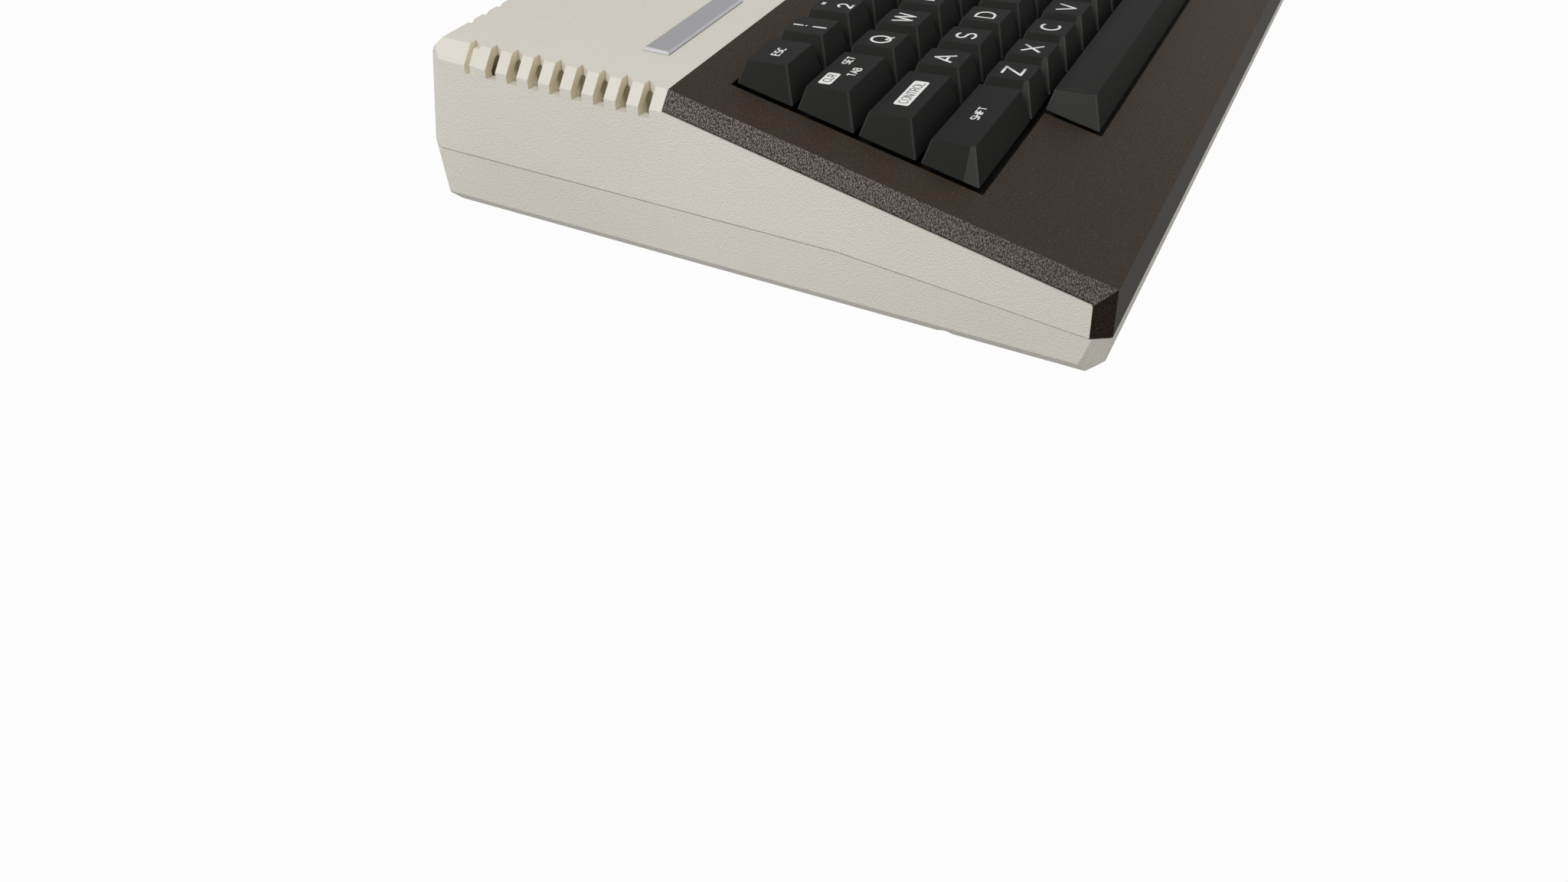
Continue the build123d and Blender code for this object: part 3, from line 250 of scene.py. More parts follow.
# ---- Typewriter keys ----
# Fifty-seven hollow caps moulded in near-black ABS, raked back over their plungers.
# Their sides are painted a shade lighter than their tops and their corner facets lighter still, as painted
# light; on the space bar the end faces and corner facets are painted lighter again.
satin, shader, place = finish("satin near-black ABS", IOR=1.06)
haze = noise(place, 60.0, 3.0)
fine = noise(place, 3200.0, 1.0)
lean = [abs(axis) for axis in normal_of(place)]
corner = lean[0] * lean[1] > 0.25
bar_back = -0.0565
bar = parts_of(place)[1] < bar_back
top = haze.ramp(0.3, 0.7).tint(colour(38, 38, 38), colour(41, 41, 40))
# Painted light: the sides get a slightly lighter base than the tops.
tone = (lean[2] > 0.95).tint(colour(42, 42, 41), top)
# Painted light: the end faces of the space bar are painted lighter.
tone = (bar * (lean[0] > 0.6)).tint(tone, colour(60, 60, 59))
# Painted highlights: the corner facets are painted lighter, most of all on the space bar.
feed(shader, Base_Color=corner.tint(tone, bar.tint(colour(59, 59, 58), colour(72, 72, 71))),
     Roughness=haze * 0.10 + 0.40 - corner * 0.12,
     Normal=relief(place, fine, 0.00006, 0.25, 0.00025))
# Each row from the back: its number, its start, and its keys with their width and how many stand
# side by side. Starts and widths are in key pitches.
rows = [
    (4, 0.0, [("key_esc", 1.25, 1), ("key_1", 1, 1), ("key_2", 1, 1), ("number_row_keys", 1, 10),
              ("key_backspace", 1, 1), ("key_break", 1, 1)]),
    (3, 0.0, [("key_tab", 1.75, 1), ("key_q", 1, 1), ("key_w", 1, 1), ("key_e", 1, 1),
              ("upper_row_keys", 1, 9), ("key_return", 1.5, 1)]),
    (2, 0.0, [("key_control", 2.0, 1), ("key_a", 1, 1), ("key_s", 1, 1), ("key_d", 1, 1), ("key_f", 1, 1),
              ("home_row_keys", 1, 8), ("key_caps", 1.25, 1)]),
    (1, 0.0, [("key_left_shift", 2.5, 1), ("key_z", 1, 1), ("key_x", 1, 1), ("key_c", 1, 1), ("key_v", 1, 1),
              ("lower_row_keys", 1, 7), ("key_right_shift", 1.75, 1)]),
    (0, 3.0, [("key_space", 9.0, 1)]),
]
dress(satin, "key_plastic", *[key for _, _, keys in rows for key, _, _ in keys])


# ---- Key legends ----
# Off-white lettering, a single even stroke wide, let into the tops of the caps.
# Words for a second function stand dark in a small off-white panel.
def arc(x, y, half_w, half_h, start, end, steps=10):
    """Points of a round stroke from one angle to another, in degrees."""
    turns = [radians(start + (end - start) * i / steps) for i in range(steps + 1)]
    return [(x + half_w * cos(t), y + half_h * sin(t)) for t in turns]


def ring(x, y, half_w, half_h):
    return arc(x, y, half_w, half_h, 90, 450, 18)


# Each sign: its width, then its strokes, on a height of 10.
sign_height = 10.0
sign_gap = 2.5
bowl = [(0, 0), (0, 10), (4.2, 10)] + arc(4.2, 7.3, 2.7, 2.7, 90, -90, 8) + [(0, 4.6)]
snake = arc(3.9, 7.45, 3.4, 2.55, 30, 270) + arc(3.9, 2.45, 3.8, 2.45, 90, -150)
signs = {
    "A": (9.0, [[(0, 0), (4.5, 10), (9, 0)], [(1.6, 3.4), (7.4, 3.4)]]),
    "B": (7.4, [[(0, 5.2), (0, 10), (4.3, 10)] + arc(4.3, 7.6, 2.4, 2.4, 90, -90, 8) + [(0, 5.2)],
                [(0, 5.2), (0, 0), (4.7, 0)] + arc(4.7, 2.6, 2.6, 2.6, -90, 90, 8)]),
    "C": (8.0, [arc(4.7, 5, 4.6, 5, 48, 312, 16)]),
    "D": (8.2, [[(0, 0), (0, 10), (3.4, 10)] + arc(3.4, 5, 4.8, 5, 90, -90, 12) + [(0, 0)]]),
    "E": (6.6, [[(6.6, 10), (0, 10), (0, 0), (6.6, 0)], [(0, 5.2), (5.6, 5.2)]]),
    "F": (6.4, [[(6.4, 10), (0, 10), (0, 0)], [(0, 5.1), (5.4, 5.1)]]),
    "G": (8.6, [arc(4.7, 5, 4.6, 5, 48, 318, 16) + [(8.4, 1.9), (8.4, 4.6), (5.2, 4.6)]]),
    "H": (7.6, [[(0, 0), (0, 10)], [(7.6, 0), (7.6, 10)], [(0, 5.2), (7.6, 5.2)]]),
    "I": (0.0, [[(0, 0), (0, 10)]]),
    "J": (5.6, [[(5.6, 10), (5.6, 2.8)] + arc(2.8, 2.8, 2.8, 2.8, 0, -170)]),
    "K": (7.4, [[(0, 0), (0, 10)], [(7.0, 10), (0, 3.8)], [(2.6, 6.0), (7.4, 0)]]),
    "L": (6.2, [[(0, 10), (0, 0), (6.2, 0)]]),
    "M": (9.2, [[(0, 0), (0, 10), (4.6, 2.6), (9.2, 10), (9.2, 0)]]),
    "N": (7.6, [[(0, 0), (0, 10), (7.6, 0), (7.6, 10)]]),
    "O": (9.2, [ring(4.6, 5, 4.6, 5)]),
    "P": (6.9, [bowl]),
    "Q": (9.2, [ring(4.5, 5, 4.5, 5), [(4.4, 2.4), (6.2, 1.9), (9.2, -0.5)]]),
    "R": (7.2, [bowl, [(3.8, 4.6), (7.2, 0)]]),
    "S": (7.7, [snake]),
    "T": (7.6, [[(0, 10), (7.6, 10)], [(3.8, 10), (3.8, 0)]]),
    "U": (7.4, [[(0, 10), (0, 3.7)] + arc(3.7, 3.7, 3.7, 3.7, 180, 360) + [(7.4, 10)]]),
    "V": (9.6, [[(0, 10), (4.8, 0), (9.6, 10)]]),
    "W": (11.2, [[(0, 10), (2.8, 0), (5.6, 10), (8.4, 0), (11.2, 10)]]),
    "X": (8.8, [[(0, 0), (8.8, 10)], [(0, 10), (8.8, 0)]]),
    "Y": (8.0, [[(0, 10), (4, 4.8), (8, 10)], [(4, 4.8), (4, 0)]]),
    "Z": (8.8, [[(0, 10), (8.8, 10), (0, 0), (8.8, 0)]]),
    "0": (7.2, [ring(3.6, 5, 3.6, 5)]),
    "1": (0.0, [[(0, 0), (0, 10)]]),
    "2": (6.8, [arc(3.3, 6.9, 3.2, 3.1, 168, -38) + [(0, 0), (6.8, 0)]]),
    "3": (6.4, [arc(3.1, 7.5, 2.9, 2.5, 150, -90) + arc(3.1, 2.5, 3.3, 2.5, 90, -150)]),
    "4": (7.0, [[(5, 0), (5, 10), (0, 3), (7, 3)]]),
    "5": (6.4, [[(5.8, 10), (1, 10), (0.6, 5.4)] + arc(3.0, 3.3, 3.4, 3.3, 130, -150)]),
    "6": (6.6, [ring(3.3, 3.2, 3.3, 3.2), [(0, 3.4), (0.5, 5.6), (2.2, 8.2), (4.8, 10)]]),
    "7": (6.6, [[(0, 10), (6.6, 10), (2.2, 0)]]),
    "8": (6.6, [ring(3.3, 7.6, 2.7, 2.4), ring(3.3, 2.6, 3.3, 2.6)]),
    "9": (6.6, [ring(3.3, 6.8, 3.3, 3.2), [(6.6, 6.6), (6.1, 4.4), (4.4, 1.8), (1.8, 0)]]),
    "!": (0.0, [[(0, 10), (0, 2.7)], [(0, 0.9), (0, 0)]]),
    '"': (2.2, [[(0, 10), (0, 7.2)], [(2.2, 10), (2.2, 7.2)]]),
    "#": (7.2, [[(1, 0), (2.6, 10)], [(4.6, 0), (6.2, 10)], [(0, 3.4), (6.6, 3.4)],
                [(0.6, 6.6), (7.2, 6.6)]]),
    "$": (7.7, [snake, [(3.9, 11.2), (3.9, -1.2)]]),
    "%": (8.0, [[(0.4, 0), (7.6, 10)], ring(1.7, 8.1, 1.7, 1.9), ring(6.3, 1.9, 1.7, 1.9)]),
    "&": (7.6, [[(7.6, 0), (1.7, 7)] + arc(3.2, 8.2, 1.8, 1.8, 215, -30) + arc(2.9, 2.7, 2.8, 2.7, 125, 300)
                + [(7.4, 4.6)]]),
    "'": (0.0, [[(0, 10), (0, 7.2)]]),
    "@": (10.0, [arc(5, 5, 5, 5, 310, 0, 18) + [(9.2, 3.4), (7.4, 3.6), (7.2, 7)], ring(4.9, 5, 2.3, 2.3)]),
    "(": (2.0, [arc(3.4, 5, 3.4, 6.4, 118, 242)]),
    ")": (2.0, [arc(-1.4, 5, 3.4, 6.4, 62, -62)]),
    "<": (6.0, [[(6, 9), (0, 5), (6, 1)]]),
    ">": (6.0, [[(0, 9), (6, 5), (0, 1)]]),
    "-": (5.6, [[(0, 5), (5.6, 5)]]),
    "=": (6.0, [[(0, 6.4), (6, 6.4)], [(0, 3.6), (6, 3.6)]]),
    "+": (6.6, [[(0, 5), (6.6, 5)], [(3.3, 8.3), (3.3, 1.7)]]),
    "*": (6.0, [[(3, 8.4), (3, 1.6)], [(0.2, 6.7), (5.8, 3.3)], [(0.2, 3.3), (5.8, 6.7)]]),
    ";": (0.8, [[(0.6, 6.4), (0.6, 5.5)], [(0.6, 0.9), (0.6, 0), (0, -1.6)]]),
    ":": (0.0, [[(0, 6.4), (0, 5.5)], [(0, 0.9), (0, 0)]]),
    ",": (0.8, [[(0.6, 0.9), (0.6, 0), (0, -1.6)]]),
    ".": (0.0, [[(0, 0.9), (0, 0)]]),
    "/": (5.0, [[(0, -0.6), (5, 10.6)]]),
    "\\": (5.0, [[(5, -0.6), (0, 10.6)]]),
    "?": (5.8, [arc(2.9, 7.2, 2.8, 2.7, 160, -60) + [(2.9, 3.8), (2.9, 2.9)], [(2.9, 0.9), (2.9, 0)]]),
    "[": (2.2, [[(2.2, 11), (0, 11), (0, -1), (2.2, -1)]]),
    "]": (2.2, [[(0, 11), (2.2, 11), (2.2, -1), (0, -1)]]),
    "_": (6.4, [[(0, -0.6), (6.4, -0.6)]]),
    "|": (0.0, [[(0, -1), (0, 11)]]),
    "^": (5.2, [[(0, 6.4), (2.6, 10), (5.2, 6.4)]]),
    "{up}": (5.0, [[(2.5, 0), (2.5, 10)], [(0, 7.0), (2.5, 10), (5, 7.0)]]),
    "{down}": (5.0, [[(2.5, 0), (2.5, 10)], [(0, 3.0), (2.5, 0), (5, 3.0)]]),
    "{left}": (9.0, [[(0, 5), (9, 5)], [(3, 8), (0, 5), (3, 2)]]),
    "{right}": (9.0, [[(0, 5), (9, 5)], [(6, 8), (9, 5), (6, 2)]]),
}


def strokes_of(text, share):
    """Strokes of a word on the height of a sign, with its middle at x = 0."""
    letters = [text] if text in signs else list(text)
    strokes, x = [], 0.0
    for letter in letters:
        width, lines = signs[letter]
        strokes += [[((x + px) * share, py) for px, py in line] for line in lines]
        x += width + sign_gap
    middle = (x - sign_gap) * share / 2
    return [[(px - middle, py) for px, py in line] for line in strokes]


def turn_at(before, here, after):
    """Half of the angle by which a line turns at a point."""
    back, ahead = Vector(here) - Vector(before), Vector(after) - Vector(here)
    return back.angle(ahead) / 2


sharp_turn = radians(52)
same_place = 0.01


def stroke_mesh(texts):
    """Lines of the texts as loose edges in metres. A line breaks at each sharp corner, where a loose
    point stands for the round joint; each point keeps the weight of its line and its mitre."""
    verts, edges, weights = [], [], []

    def add(points, mitres, weight, closed=False):
        first = len(verts)
        verts.extend((x / 1000, y / 1000, 0.0) for x, y in points)
        weights.extend(weight * mitre for mitre in mitres)
        edges.extend((first + i, first + i + 1) for i in range(len(points) - 1))
        if closed:
            edges.append((first + len(points) - 1, first))

    for x, text, y, height, weight, share in texts:
        size = height / sign_height
        for line in strokes_of(text, share):
            points = [(x + px * size, y + (py - sign_height / 2) * size) for px, py in line]
            points = points[:1] + [here for before, here in zip(points, points[1:])
                                   if dist(before, here) > same_place]
            if dist(points[0], points[-1]) < same_place:
                add(points[:-1], [1.0] * (len(points) - 1), weight, True)
                continue
            run, mitres = [points[0]], [1.0]
            for i in range(1, len(points) - 1):
                half = turn_at(points[i - 1], points[i], points[i + 1])
                run.append(points[i])
                if half < sharp_turn:
                    mitres.append(1 / cos(half))
                    continue
                add(run, mitres + [1.0], weight)
                add([points[i]], [1.0], weight)
                run, mitres = [points[i]], [1.0]
            add(run + [points[-1]], mitres + [1.0], weight)
    mesh = bpy.data.meshes.new("strokes")
    mesh.from_pydata(verts, edges, [])
    mesh.attributes.new("weight", "FLOAT", "POINT").data.foreach_set("value", weights)
    return mesh


def new_tree(name, *inputs):
    """Geometry Nodes tree with named inputs; gives the tree and a Wire of each input."""
    tree = bpy.data.node_groups.new(name, "GeometryNodeTree")
    tree.interface.new_socket("Geometry", in_out="OUTPUT", socket_type="NodeSocketGeometry")
    for label, kind in (("Geometry", "Geometry"), *inputs):
        tree.interface.new_socket(label, in_out="INPUT", socket_type="NodeSocket" + kind)
    start = tree.nodes.new("NodeGroupInput")
    labels = ["Geometry"] + [label for label, _ in inputs]
    return tree, [Wire(tree, start.outputs[label]) for label in labels]


def close_tree(flat, height, ink):
    """Raises flat faces by the ink, and ends the tree in Realize Instances and Set Material."""
    up = flat.node("ShaderNodeCombineXYZ", Z=1.0)
    shape = flat.node("GeometryNodeExtrudeMesh", {"mode": "FACES"}, Mesh=flat, Offset=up,
                      Offset_Scale=height, Individual=False)
    shape = shape.node("GeometryNodeRealizeInstances", Geometry=shape)
    shape = shape.node("GeometryNodeSetMaterial", Geometry=shape, Material=ink)
    shape.tree.links.new(shape.socket, shape.tree.nodes.new("NodeGroupOutput").inputs["Geometry"])


def lettering_tree():
    """Even flat strokes along every line, and a round dot on every loose point, raised by the ink.
    Neighbouring strokes lie a hair apart in height, so that none share a plane where they cross."""
    layers, hair, dot_sides = 4.0, 0.000002, 12
    tree, (lines, width, height, ink) = new_tree(
        "Lettering", ("Stroke width", "Float"), ("Ink height", "Float"), ("Ink", "Material"))
    weight = lines.node("GeometryNodeInputNamedAttribute", {"data_type": "FLOAT"}, Name="weight")
    path = lines.node("GeometryNodeMeshToCurve", Mesh=lines)
    path = path.node("GeometryNodeSetCurveNormal", {"mode": "Z_UP"}, Curve=path)
    number = path.node("GeometryNodeCurveOfPoint", out="Curve Index")
    lift = path.node("ShaderNodeCombineXYZ", Z=number.maths("MODULO", number, layers) * hair + hair)
    path = path.node("GeometryNodeSetPosition", Geometry=path, Offset=lift)
    end = path.node("ShaderNodeCombineXYZ", X=width * 0.5)
    start = path.node("ShaderNodeCombineXYZ", X=width * -0.5)
    rule = path.node("GeometryNodeCurvePrimitiveLine", Start=start, End=end)
    strip = path.node("GeometryNodeCurveToMesh", Curve=path, Profile_Curve=rule, Scale=weight)
    dot = lines.node("GeometryNodeMeshCircle", {"fill_type": "NGON"}, Vertices=dot_sides,
                     Radius=width * 0.5)
    alone = lines.node("GeometryNodeInputMeshVertexNeighbors") < 0.5
    dots = lines.node("GeometryNodeInstanceOnPoints", Points=lines, Selection=alone, Instance=dot,
                      Scale=weight)
    dots = dots.node("GeometryNodeRealizeInstances", Geometry=dots)
    flat = strip.node("GeometryNodeJoinGeometry", Geometry=strip)
    tree.links.new(dots.socket, flat.socket.node.inputs["Geometry"])
    close_tree(flat, height, ink)
    return tree


def panel_tree():
    """Thin plate with round corners inside every loop of lines."""
    tree, (lines, radius, height, ink) = new_tree(
        "Panels", ("Corner radius", "Float"), ("Ink height", "Float"), ("Ink", "Material"))
    loop = lines.node("GeometryNodeMeshToCurve", Mesh=lines)
    loop = loop.node("GeometryNodeFilletCurve", {"mode": "POLY"}, Curve=loop, Count=4, Radius=radius)
    close_tree(loop.node("GeometryNodeFillCurve", {"mode": "NGONS"}, Curve=loop), height, ink)
    return tree


def grown(mesh, tree, **inputs):
    """Mesh that a tree makes of another mesh, with its inputs set by name."""
    base = bpy.data.objects.new("base", mesh)
    bpy.context.scene.collection.objects.link(base)
    modifier = base.modifiers.new(tree.name, "NODES")
    modifier.node_group = tree
    for item in tree.interface.items_tree:
        if item.in_out == "INPUT" and item.name.replace(" ", "_") in inputs:
            modifier[item.identifier] = inputs[item.name.replace(" ", "_")]
    base.update_tag()
    depsgraph = bpy.context.evaluated_depsgraph_get()
    result = bpy.data.meshes.new_from_object(base.evaluated_get(depsgraph), depsgraph=depsgraph)
    bpy.data.objects.remove(base)
    bpy.data.meshes.remove(mesh)
    return result


# The keyboard falls to the front from the crease of the deck. These sizes are in millimetres.
crease = Vector((0.0, 23.85, 54.9))
pitch = 19.05
keys_left = -166.0
row_front = -100.5
cap_rise = 9.0
cap_rake = radians(15.3) - slope


def on_slope(x, back, rise):
    """Place in metres of a point so far back from the crease and above the sloped bezel."""
    point = Vector((x, back * cos(slope) - rise * sin(slope), back * sin(slope) + rise * cos(slope)))
    return Matrix.Translation((crease + point) / 1000)


def cap_top(row):
    """Plane of the tops of a row, with its origin on their front edges, in metres."""
    return on_slope(0.0, row_front + row * pitch, cap_rise) @ Matrix.Rotation(-cap_rake, 4, "X")


off_white, shader, place = finish("off-white lettering", Specular_IOR_Level=0.3)
wear = noise(place, 900.0, 2.0)
feed(shader, Base_Color=wear.ramp(0.35, 0.7).tint(colour(236, 235, 233), colour(226, 225, 223)),
     Roughness=wear * 0.1 + 0.45)
thin_ink, shader, place = finish("dark lettering in the panels", Specular_IOR_Level=0.3)
wear = noise(place, 900.0, 2.0)
feed(shader, Base_Color=wear.ramp(0.35, 0.7).tint(colour(48, 47, 46), colour(62, 61, 60)),
     Roughness=wear * 0.1 + 0.45)

ink_height = 0.00004
stroke_width = 0.00082
panel_corner = 0.0008
lettering, panels = lettering_tree(), panel_tree()


def word(text, x, y, height=2.3, weight=0.56, share=0.86):
    """A word with its middle at x, y and its size in millimetres; weight is that of its strokes
    against a letter's, and share its breadth against its height."""
    return x, text, y, height, weight, share


def letter(text):
    """One large letter."""
    return {"light": [word(text, -0.2, 6.35, height=5.85, weight=1.0, share=1.0)]}


def sign(text, x, y, height=4.4):
    """One smaller sign."""
    return word(text, x, y, height, weight=0.88, share=1.0)


def pair(top, bottom, *boxes):
    """Two signs, one above the other, with panels beside them."""
    top_y = 8.9 if top in "'\"" else 9.6
    legend = {"light": [sign(top, -0.4, top_y), sign(bottom, -0.4, 3.4)]}
    return legend | {kind: [item for box in boxes for item in box[kind]] for kind in ("panel", "dark")}


def boxed(text, x, y, width, height, share=0.8):
    """A dark word in an off-white panel."""
    return {"panel": [(x, y, width, height)],
            "dark": [word(text, x, y, height=height * 0.58, weight=0.32, share=share)]}


def both(box, *texts):
    """A panel with off-white words beside it."""
    return box | {"light": list(texts)}


def words(*texts):
    """Off-white words alone."""
    return {"light": list(texts)}


legends = {
    "key_esc": [words(word("ESC", -0.2, 6.4))],
    "key_1": [pair("!", "1")],
    "key_2": [pair('"', "2")],
    "number_row_keys": [pair("#", "3"), pair("$", "4"), pair("%", "5"), pair("&", "6"), pair("'", "7"),
                        pair("@", "8"), pair("(", "9"), pair(")", "0"),
                        both(boxed("CLEAR", 0, 9.6, 10.4, 3.4, 0.66), sign("<", 0, 3.6, 4.0)),
                        both(boxed("INSERT", 0, 9.6, 10.8, 3.4, 0.62), sign(">", 0, 3.6, 4.0))],
    "key_backspace": [words(word("DELETE", 0, 9.6, share=0.66), word("BACK", 0, 6.2, share=0.8),
                            word("SPACE", 0, 2.8, share=0.8))],
    "key_break": [words(word("BREAK", 0, 6.4, share=0.8))],
    "key_tab": [both(boxed("CLR", -6.35, 8.7, 8.0, 3.9, 0.86), word("SET", 7.6, 8.8), word("TAB", 0.3, 3.9))],
    "upper_row_keys": [letter(text) for text in "RTYUIOP"] + [
        pair("_", "-", boxed("{up}", 4.6, 6.4, 2.6, 3.6)),
        pair("|", "=", boxed("{down}", 4.6, 6.4, 2.6, 3.6))],
    "key_return": [words(word("RETURN", 0, 6.4))],
    "key_control": [boxed("CONTROL", 0.8, 6.2, 17.4, 4.6)],
    "home_row_keys": [letter(text) for text in "GHJKL"] + [
        pair(":", ";"), pair("\\", "+", boxed("{left}", 4.6, 6.4, 3.0, 3.0, 0.7)),
        pair("^", "*", boxed("{right}", 4.6, 6.4, 3.0, 3.0, 0.7))],
    "key_caps": [words(word("CAPS", 0, 6.4))],
    "key_left_shift": [words(word("SHIFT", 0.5, 6.1, share=0.96))],
    "lower_row_keys": [letter(text) for text in "BNM"] + [
        pair("[", ","), pair("]", "."), pair("?", "/"),
        {"panel": [(-1.5, 6.4, 3.0, 6.0)], "light": [word("]", 1.3, 6.4, 4.6, 0.56, 2.4)]}],
    "key_right_shift": [words(word("SHIFT", 0, 6.1, share=0.96))],
} | {"key_" + text.lower(): [letter(text)] for text in "QWEASDFZXCV"}


def plates_mesh(plates):
    """Outlines of the panels as loops of edges in metres."""
    verts, edges = [], []
    for x, y, width, height in plates:
        first = len(verts)
        verts += [((x + sx * width / 2) / 1000, (y + sy * height / 2) / 1000, 0.0)
                  for sx, sy in ((-1, -1), (1, -1), (1, 1), (-1, 1))]
        edges += [(first + i, first + (i + 1) % 4) for i in range(4)]
    mesh = bpy.data.meshes.new("plates")
    mesh.from_pydata(verts, edges, [])
    return mesh


def print_on(node, name, ground, light=(), panel=(), dark=()):
    """Prints a legend on a key, in the plane of its top face."""
    layers = []
    if light:
        layers.append((off_white, 0.0, grown(stroke_mesh(light), lettering, Stroke_width=stroke_width,
                                             Ink_height=ink_height, Ink=off_white)))
    if panel:
        layers.append((off_white, 0.0, grown(plates_mesh(panel), panels, Corner_radius=panel_corner,
                                             Ink_height=ink_height, Ink=off_white)))
    if dark:
        layers.append((thin_ink, ink_height, grown(stroke_mesh(dark), lettering, Stroke_width=stroke_width,
                                                   Ink_height=ink_height, Ink=thin_ink)))
    inks = [ink for ink in (off_white, thin_ink) if any(ink == layer[0] for layer in layers)]
    joined = bmesh.new()
    for ink, rise, mesh in layers:
        mesh.transform(ground @ Matrix.Translation((0.0, 0.0, rise)))
        first = len(joined.faces)
        joined.from_mesh(mesh)
        joined.faces.ensure_lookup_table()
        for face in joined.faces[first:]:
            face.material_index = inks.index(ink)
        bpy.data.meshes.remove(mesh)
    result = bpy.data.meshes.new(name)
    joined.to_mesh(result)
    joined.free()
    for ink in inks:
        result.materials.append(ink)
    piece = bpy.data.objects.new(name, result)
    bpy.context.scene.collection.objects.link(piece)
    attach(piece, node)


for row, start, keys in rows:
    left = keys_left + start * pitch
    for key, width, count in keys:
        legend = {"light": [], "panel": [], "dark": []}
        for i in range(count):
            middle = left + width * pitch / 2
            for kind, items in legends.get(key, [{}] * count)[i].items():
                legend[kind] += [(x + middle, *rest) for x, *rest in items]
            left += width * pitch
        if any(legend.values()):
            print_on(key, "legend_" + key, cap_top(row), **legend)


# ---- Console keys, slot doors ----
# Five function keys and the two spring doors of the cartridge slot are faced in brushed
# aluminium, with the grain along their length. Each key has its function printed on its top.
# Their sizes are in millimetres, from the middle of the case and the crease of the deck.
console = ["HELP", "START", "SELECT", "OPTION", "RESET"]
console_x = 155.4
console_front = -82.0
console_pitch = 15.5
console_rise = 3.71
console_rake = slope - radians(8.0)
for number, function in enumerate(console):
    ground = on_slope(console_x, console_front + number * console_pitch, console_rise)
    ground = ground @ Matrix.Rotation(console_rake, 4, "X") @ Matrix.Translation((0.0, 0.0, -ink_height))
    key = function.lower() + "_key"
    print_on(key, "legend_" + key, ground, dark=[word(function, 0, 0, weight=0.5, share=0.9)])
    dress(bright, "bright_metal", key)
dress(bright, "bright_metal", "front_slot_door", "rear_slot_door")


# ---- Power light ----
# Red lens of dyed clear acrylic in front of a small lamp. It is pressed into the bezel from below
# and stands flush with its top.
red, shader, place = finish("red acrylic lens", Coat_Weight=0.6)
depth = noise(place, 700.0, 1.0)
feed(shader, Base_Color=depth.ramp(0.3, 0.7).tint(colour(128, 14, 12), colour(158, 24, 18)),
     Roughness=depth * 0.1 + 0.15)
dress(red, "red_lens", "power_lamp")


# ---- Keyboard frame and other black mouldings ----
# The frame is a black moulded plate with a sleeve round every plunger, screwed down on its contact
# membrane. The cartridge guide, the sockets and the switches are moulded in the same plain black.
black, shader, place = finish("plain black moulding", IOR=1.12)
skin = noise(place, 1500.0, 2.0)
feed(shader, Base_Color=skin.ramp(0.3, 0.7).tint(colour(13, 13, 13), colour(19, 19, 18)),
     Roughness=skin * 0.2 + 0.42,
     Normal=relief(place, skin, 0.0001, 0.35, 0.0002))
dress(black, "black_plastic", "keyboard_frame", "keyboard_membrane", "cartridge_guide", "cartridge_socket",
      "din_sockets", "bus_cover", "channel_switch_housing", "channel_slider", "power_switch_housing")


# ---- Circuit board and its chips ----
# The board is glass-epoxy laminate under green solder mask, screwed to posts of the lower case.
# Its chips are cast in black epoxy and soldered down.
laminate, shader, place = finish("green solder mask", Coat_Weight=0.3)
copper = place.node("ShaderNodeTexVoronoi", {"distance": "CHEBYCHEV"}, Vector=place, Scale=180.0)
feed(shader, Base_Color=copper.ramp(0.25, 0.4).tint(colour(38, 78, 44), colour(28, 58, 36)),
     Roughness=copper * 0.1 + 0.35)
dress(laminate, "board_laminate", "main_board")
dress(black, "black_plastic", "board_chips")


# ---- Shielding and metal sockets ----
# Zinc-plated sheet steel, folded and soldered: the box over the chips, the can of the modulator, the
# back plate of the keyboard, the television jack, and the screws. The pins of the ports are plated
# bright and pressed into black housings.
zinc, shader, place = finish("zinc-plated sheet steel", Metallic=1.0)
spangle = noise(place, 160.0, 3.0, 0.6)
feed(shader, Base_Color=spangle.ramp(0.3, 0.7).tint(colour(150, 150, 148), colour(178, 178, 175)),
     Roughness=spangle * 0.15 + 0.30,
     Normal=relief(place, spangle, 0.00005, 0.3, 0.0002))
dress(zinc, "sheet_steel", "rf_shield", "rf_modulator", "keyboard_backplate", "tv_jack", "case_screws")
dress(bright, "bright_metal", "connector_pins")
dress(black, "black_plastic", "controller_ports", "peripheral_port")


# ---- Power rocker ----
# Glossy black rocker that tips on a pin inside its housing, at the back. It is moulded in a
# polished tool.
gloss, shader, place = finish("glossy black moulding", IOR=1.3)
polish = noise(place, 400.0, 2.0)
feed(shader, Base_Color=polish.ramp(0.3, 0.7).tint(colour(16, 16, 16), colour(22, 22, 22)),
     Roughness=polish * 0.1 + 0.14)
dress(gloss, "rocker_plastic", "power_rocker")


# ---- Rubber feet ----
# Soft pads of black rubber, stamped from sheet and glued under the corners.
# They are matt and slightly dusty.
rubber, shader, place = finish("black rubber", Specular_IOR_Level=0.25)
crumb = noise(place, 1200.0, 3.0)
feed(shader, Base_Color=crumb.ramp(0.3, 0.7).tint(colour(26, 26, 26), colour(36, 35, 34)),
     Roughness=crumb * 0.15 + 0.75,
     Normal=relief(place, crumb, 0.0002, 0.4, 0.0004))
dress(rubber, "foot_rubber", "rubber_feet")


# ---- Studio ----
# A pale floor and pale air that the camera sees as white. A large soft lamp stands high on the left,
# and a weak one on the right.
white, grey = (1.0, 1.0, 1.0, 1.0), (0.40, 0.40, 0.40, 1.0)


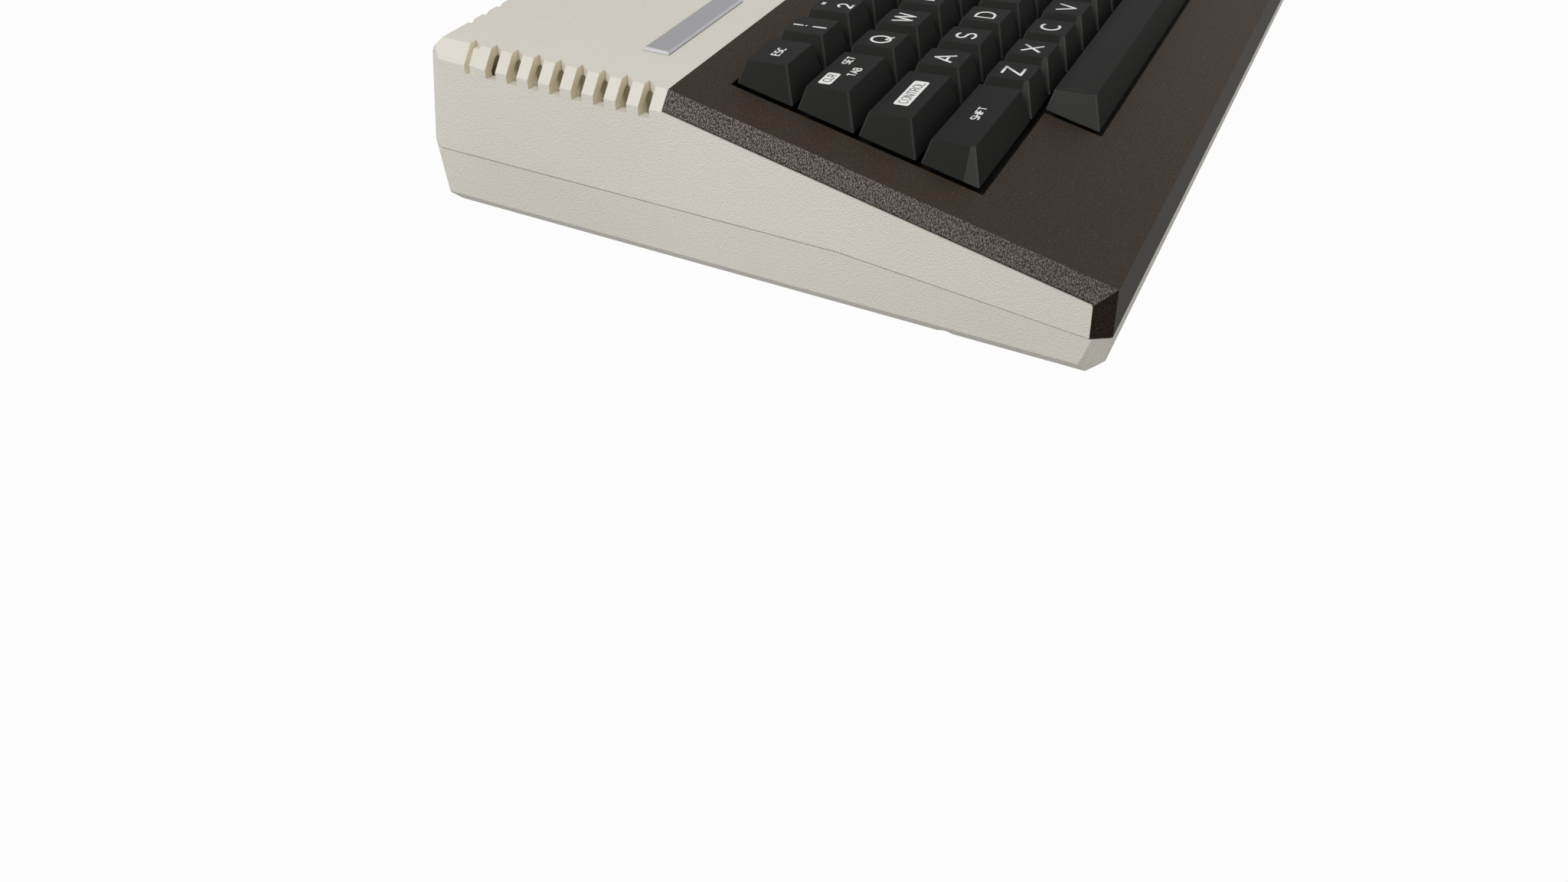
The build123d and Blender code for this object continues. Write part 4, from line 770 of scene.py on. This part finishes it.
def white_to_the_eye(output, share, glow, lit):
    """Ends a tree in its output. Camera, glossy and clear rays meet the glow, by its share; all other
    rays meet the lit surface."""
    tree = lit.tree
    path = tree.nodes.new("ShaderNodeLightPath")
    rays = [Wire(tree, path.outputs[f"Is {kind} Ray"]) for kind in ("Camera", "Glossy", "Transmission")]
    seen = (rays[0] | rays[1] | rays[2]) * share
    mix = seen.node("ShaderNodeMixShader", i0=seen, i1=lit, i2=glow)
    tree.links.new(mix.socket, tree.nodes.new(output).inputs["Surface"])


bpy.ops.mesh.primitive_circle_add(vertices=64, radius=4.0, fill_type="NGON")
floor = bpy.context.object
floor.name = "floor"
pale = bpy.data.materials.new("pale floor")
pale.use_nodes = True
pale.node_tree.nodes.clear()
start = Wire(pale.node_tree, None)
matt = start.node("ShaderNodeBsdfDiffuse", Color=grey)
glow = start.node("ShaderNodeEmission", Color=white, Strength=1.0)
white_to_the_eye("ShaderNodeOutputMaterial", 0.97, glow, matt)
floor.data.materials.append(pale)

world = bpy.data.worlds.new("studio")
bpy.context.scene.world = world
world.use_nodes = True
world.node_tree.nodes.clear()
start = Wire(world.node_tree, None)
air = start.node("ShaderNodeBackground", Color=white, Strength=0.46)
glow = start.node("ShaderNodeBackground", Color=white, Strength=0.985)
white_to_the_eye("ShaderNodeOutputWorld", 1.0, glow, air)


def soft_lamp(name, size, power, place):
    """A round lamp that faces the middle of the object."""
    light = bpy.data.lights.new(name, "AREA")
    light.shape, light.size, light.energy = "DISK", size, power
    lamp = bpy.data.objects.new(name, light)
    bpy.context.scene.collection.objects.link(lamp)
    lamp.location = place
    lamp.rotation_euler = (-Vector(place)).to_track_quat("-Z", "Y").to_euler()


soft_lamp("left lamp", size=1.4, power=30.5, place=(-1.71, 0.30, 1.355))
soft_lamp("right lamp", size=1.2, power=7.5, place=(1.6, -0.75, 0.94))

camera_data = bpy.data.cameras.new("camera")
camera_data.lens = 30.2835
camera_data.sensor_width = 36.0
camera_data.clip_start = 0.01
camera = bpy.data.objects.new("camera", camera_data)
bpy.context.scene.collection.objects.link(camera)
right = Vector((0.42891984, -0.9029948, 0.0250632))
down = Vector((-0.56230229, -0.28860076, -0.77493596))
ahead = Vector((0.7069964, 0.31829231, -0.63154263))
eye = Vector((-0.47781, -0.14645, 0.20815))
turn = Matrix((right, -down, -ahead)).transposed().to_4x4()
camera.matrix_world = Matrix.Translation(eye) @ turn
bpy.context.scene.camera = camera
bpy.context.scene.view_settings.view_transform = "Standard"
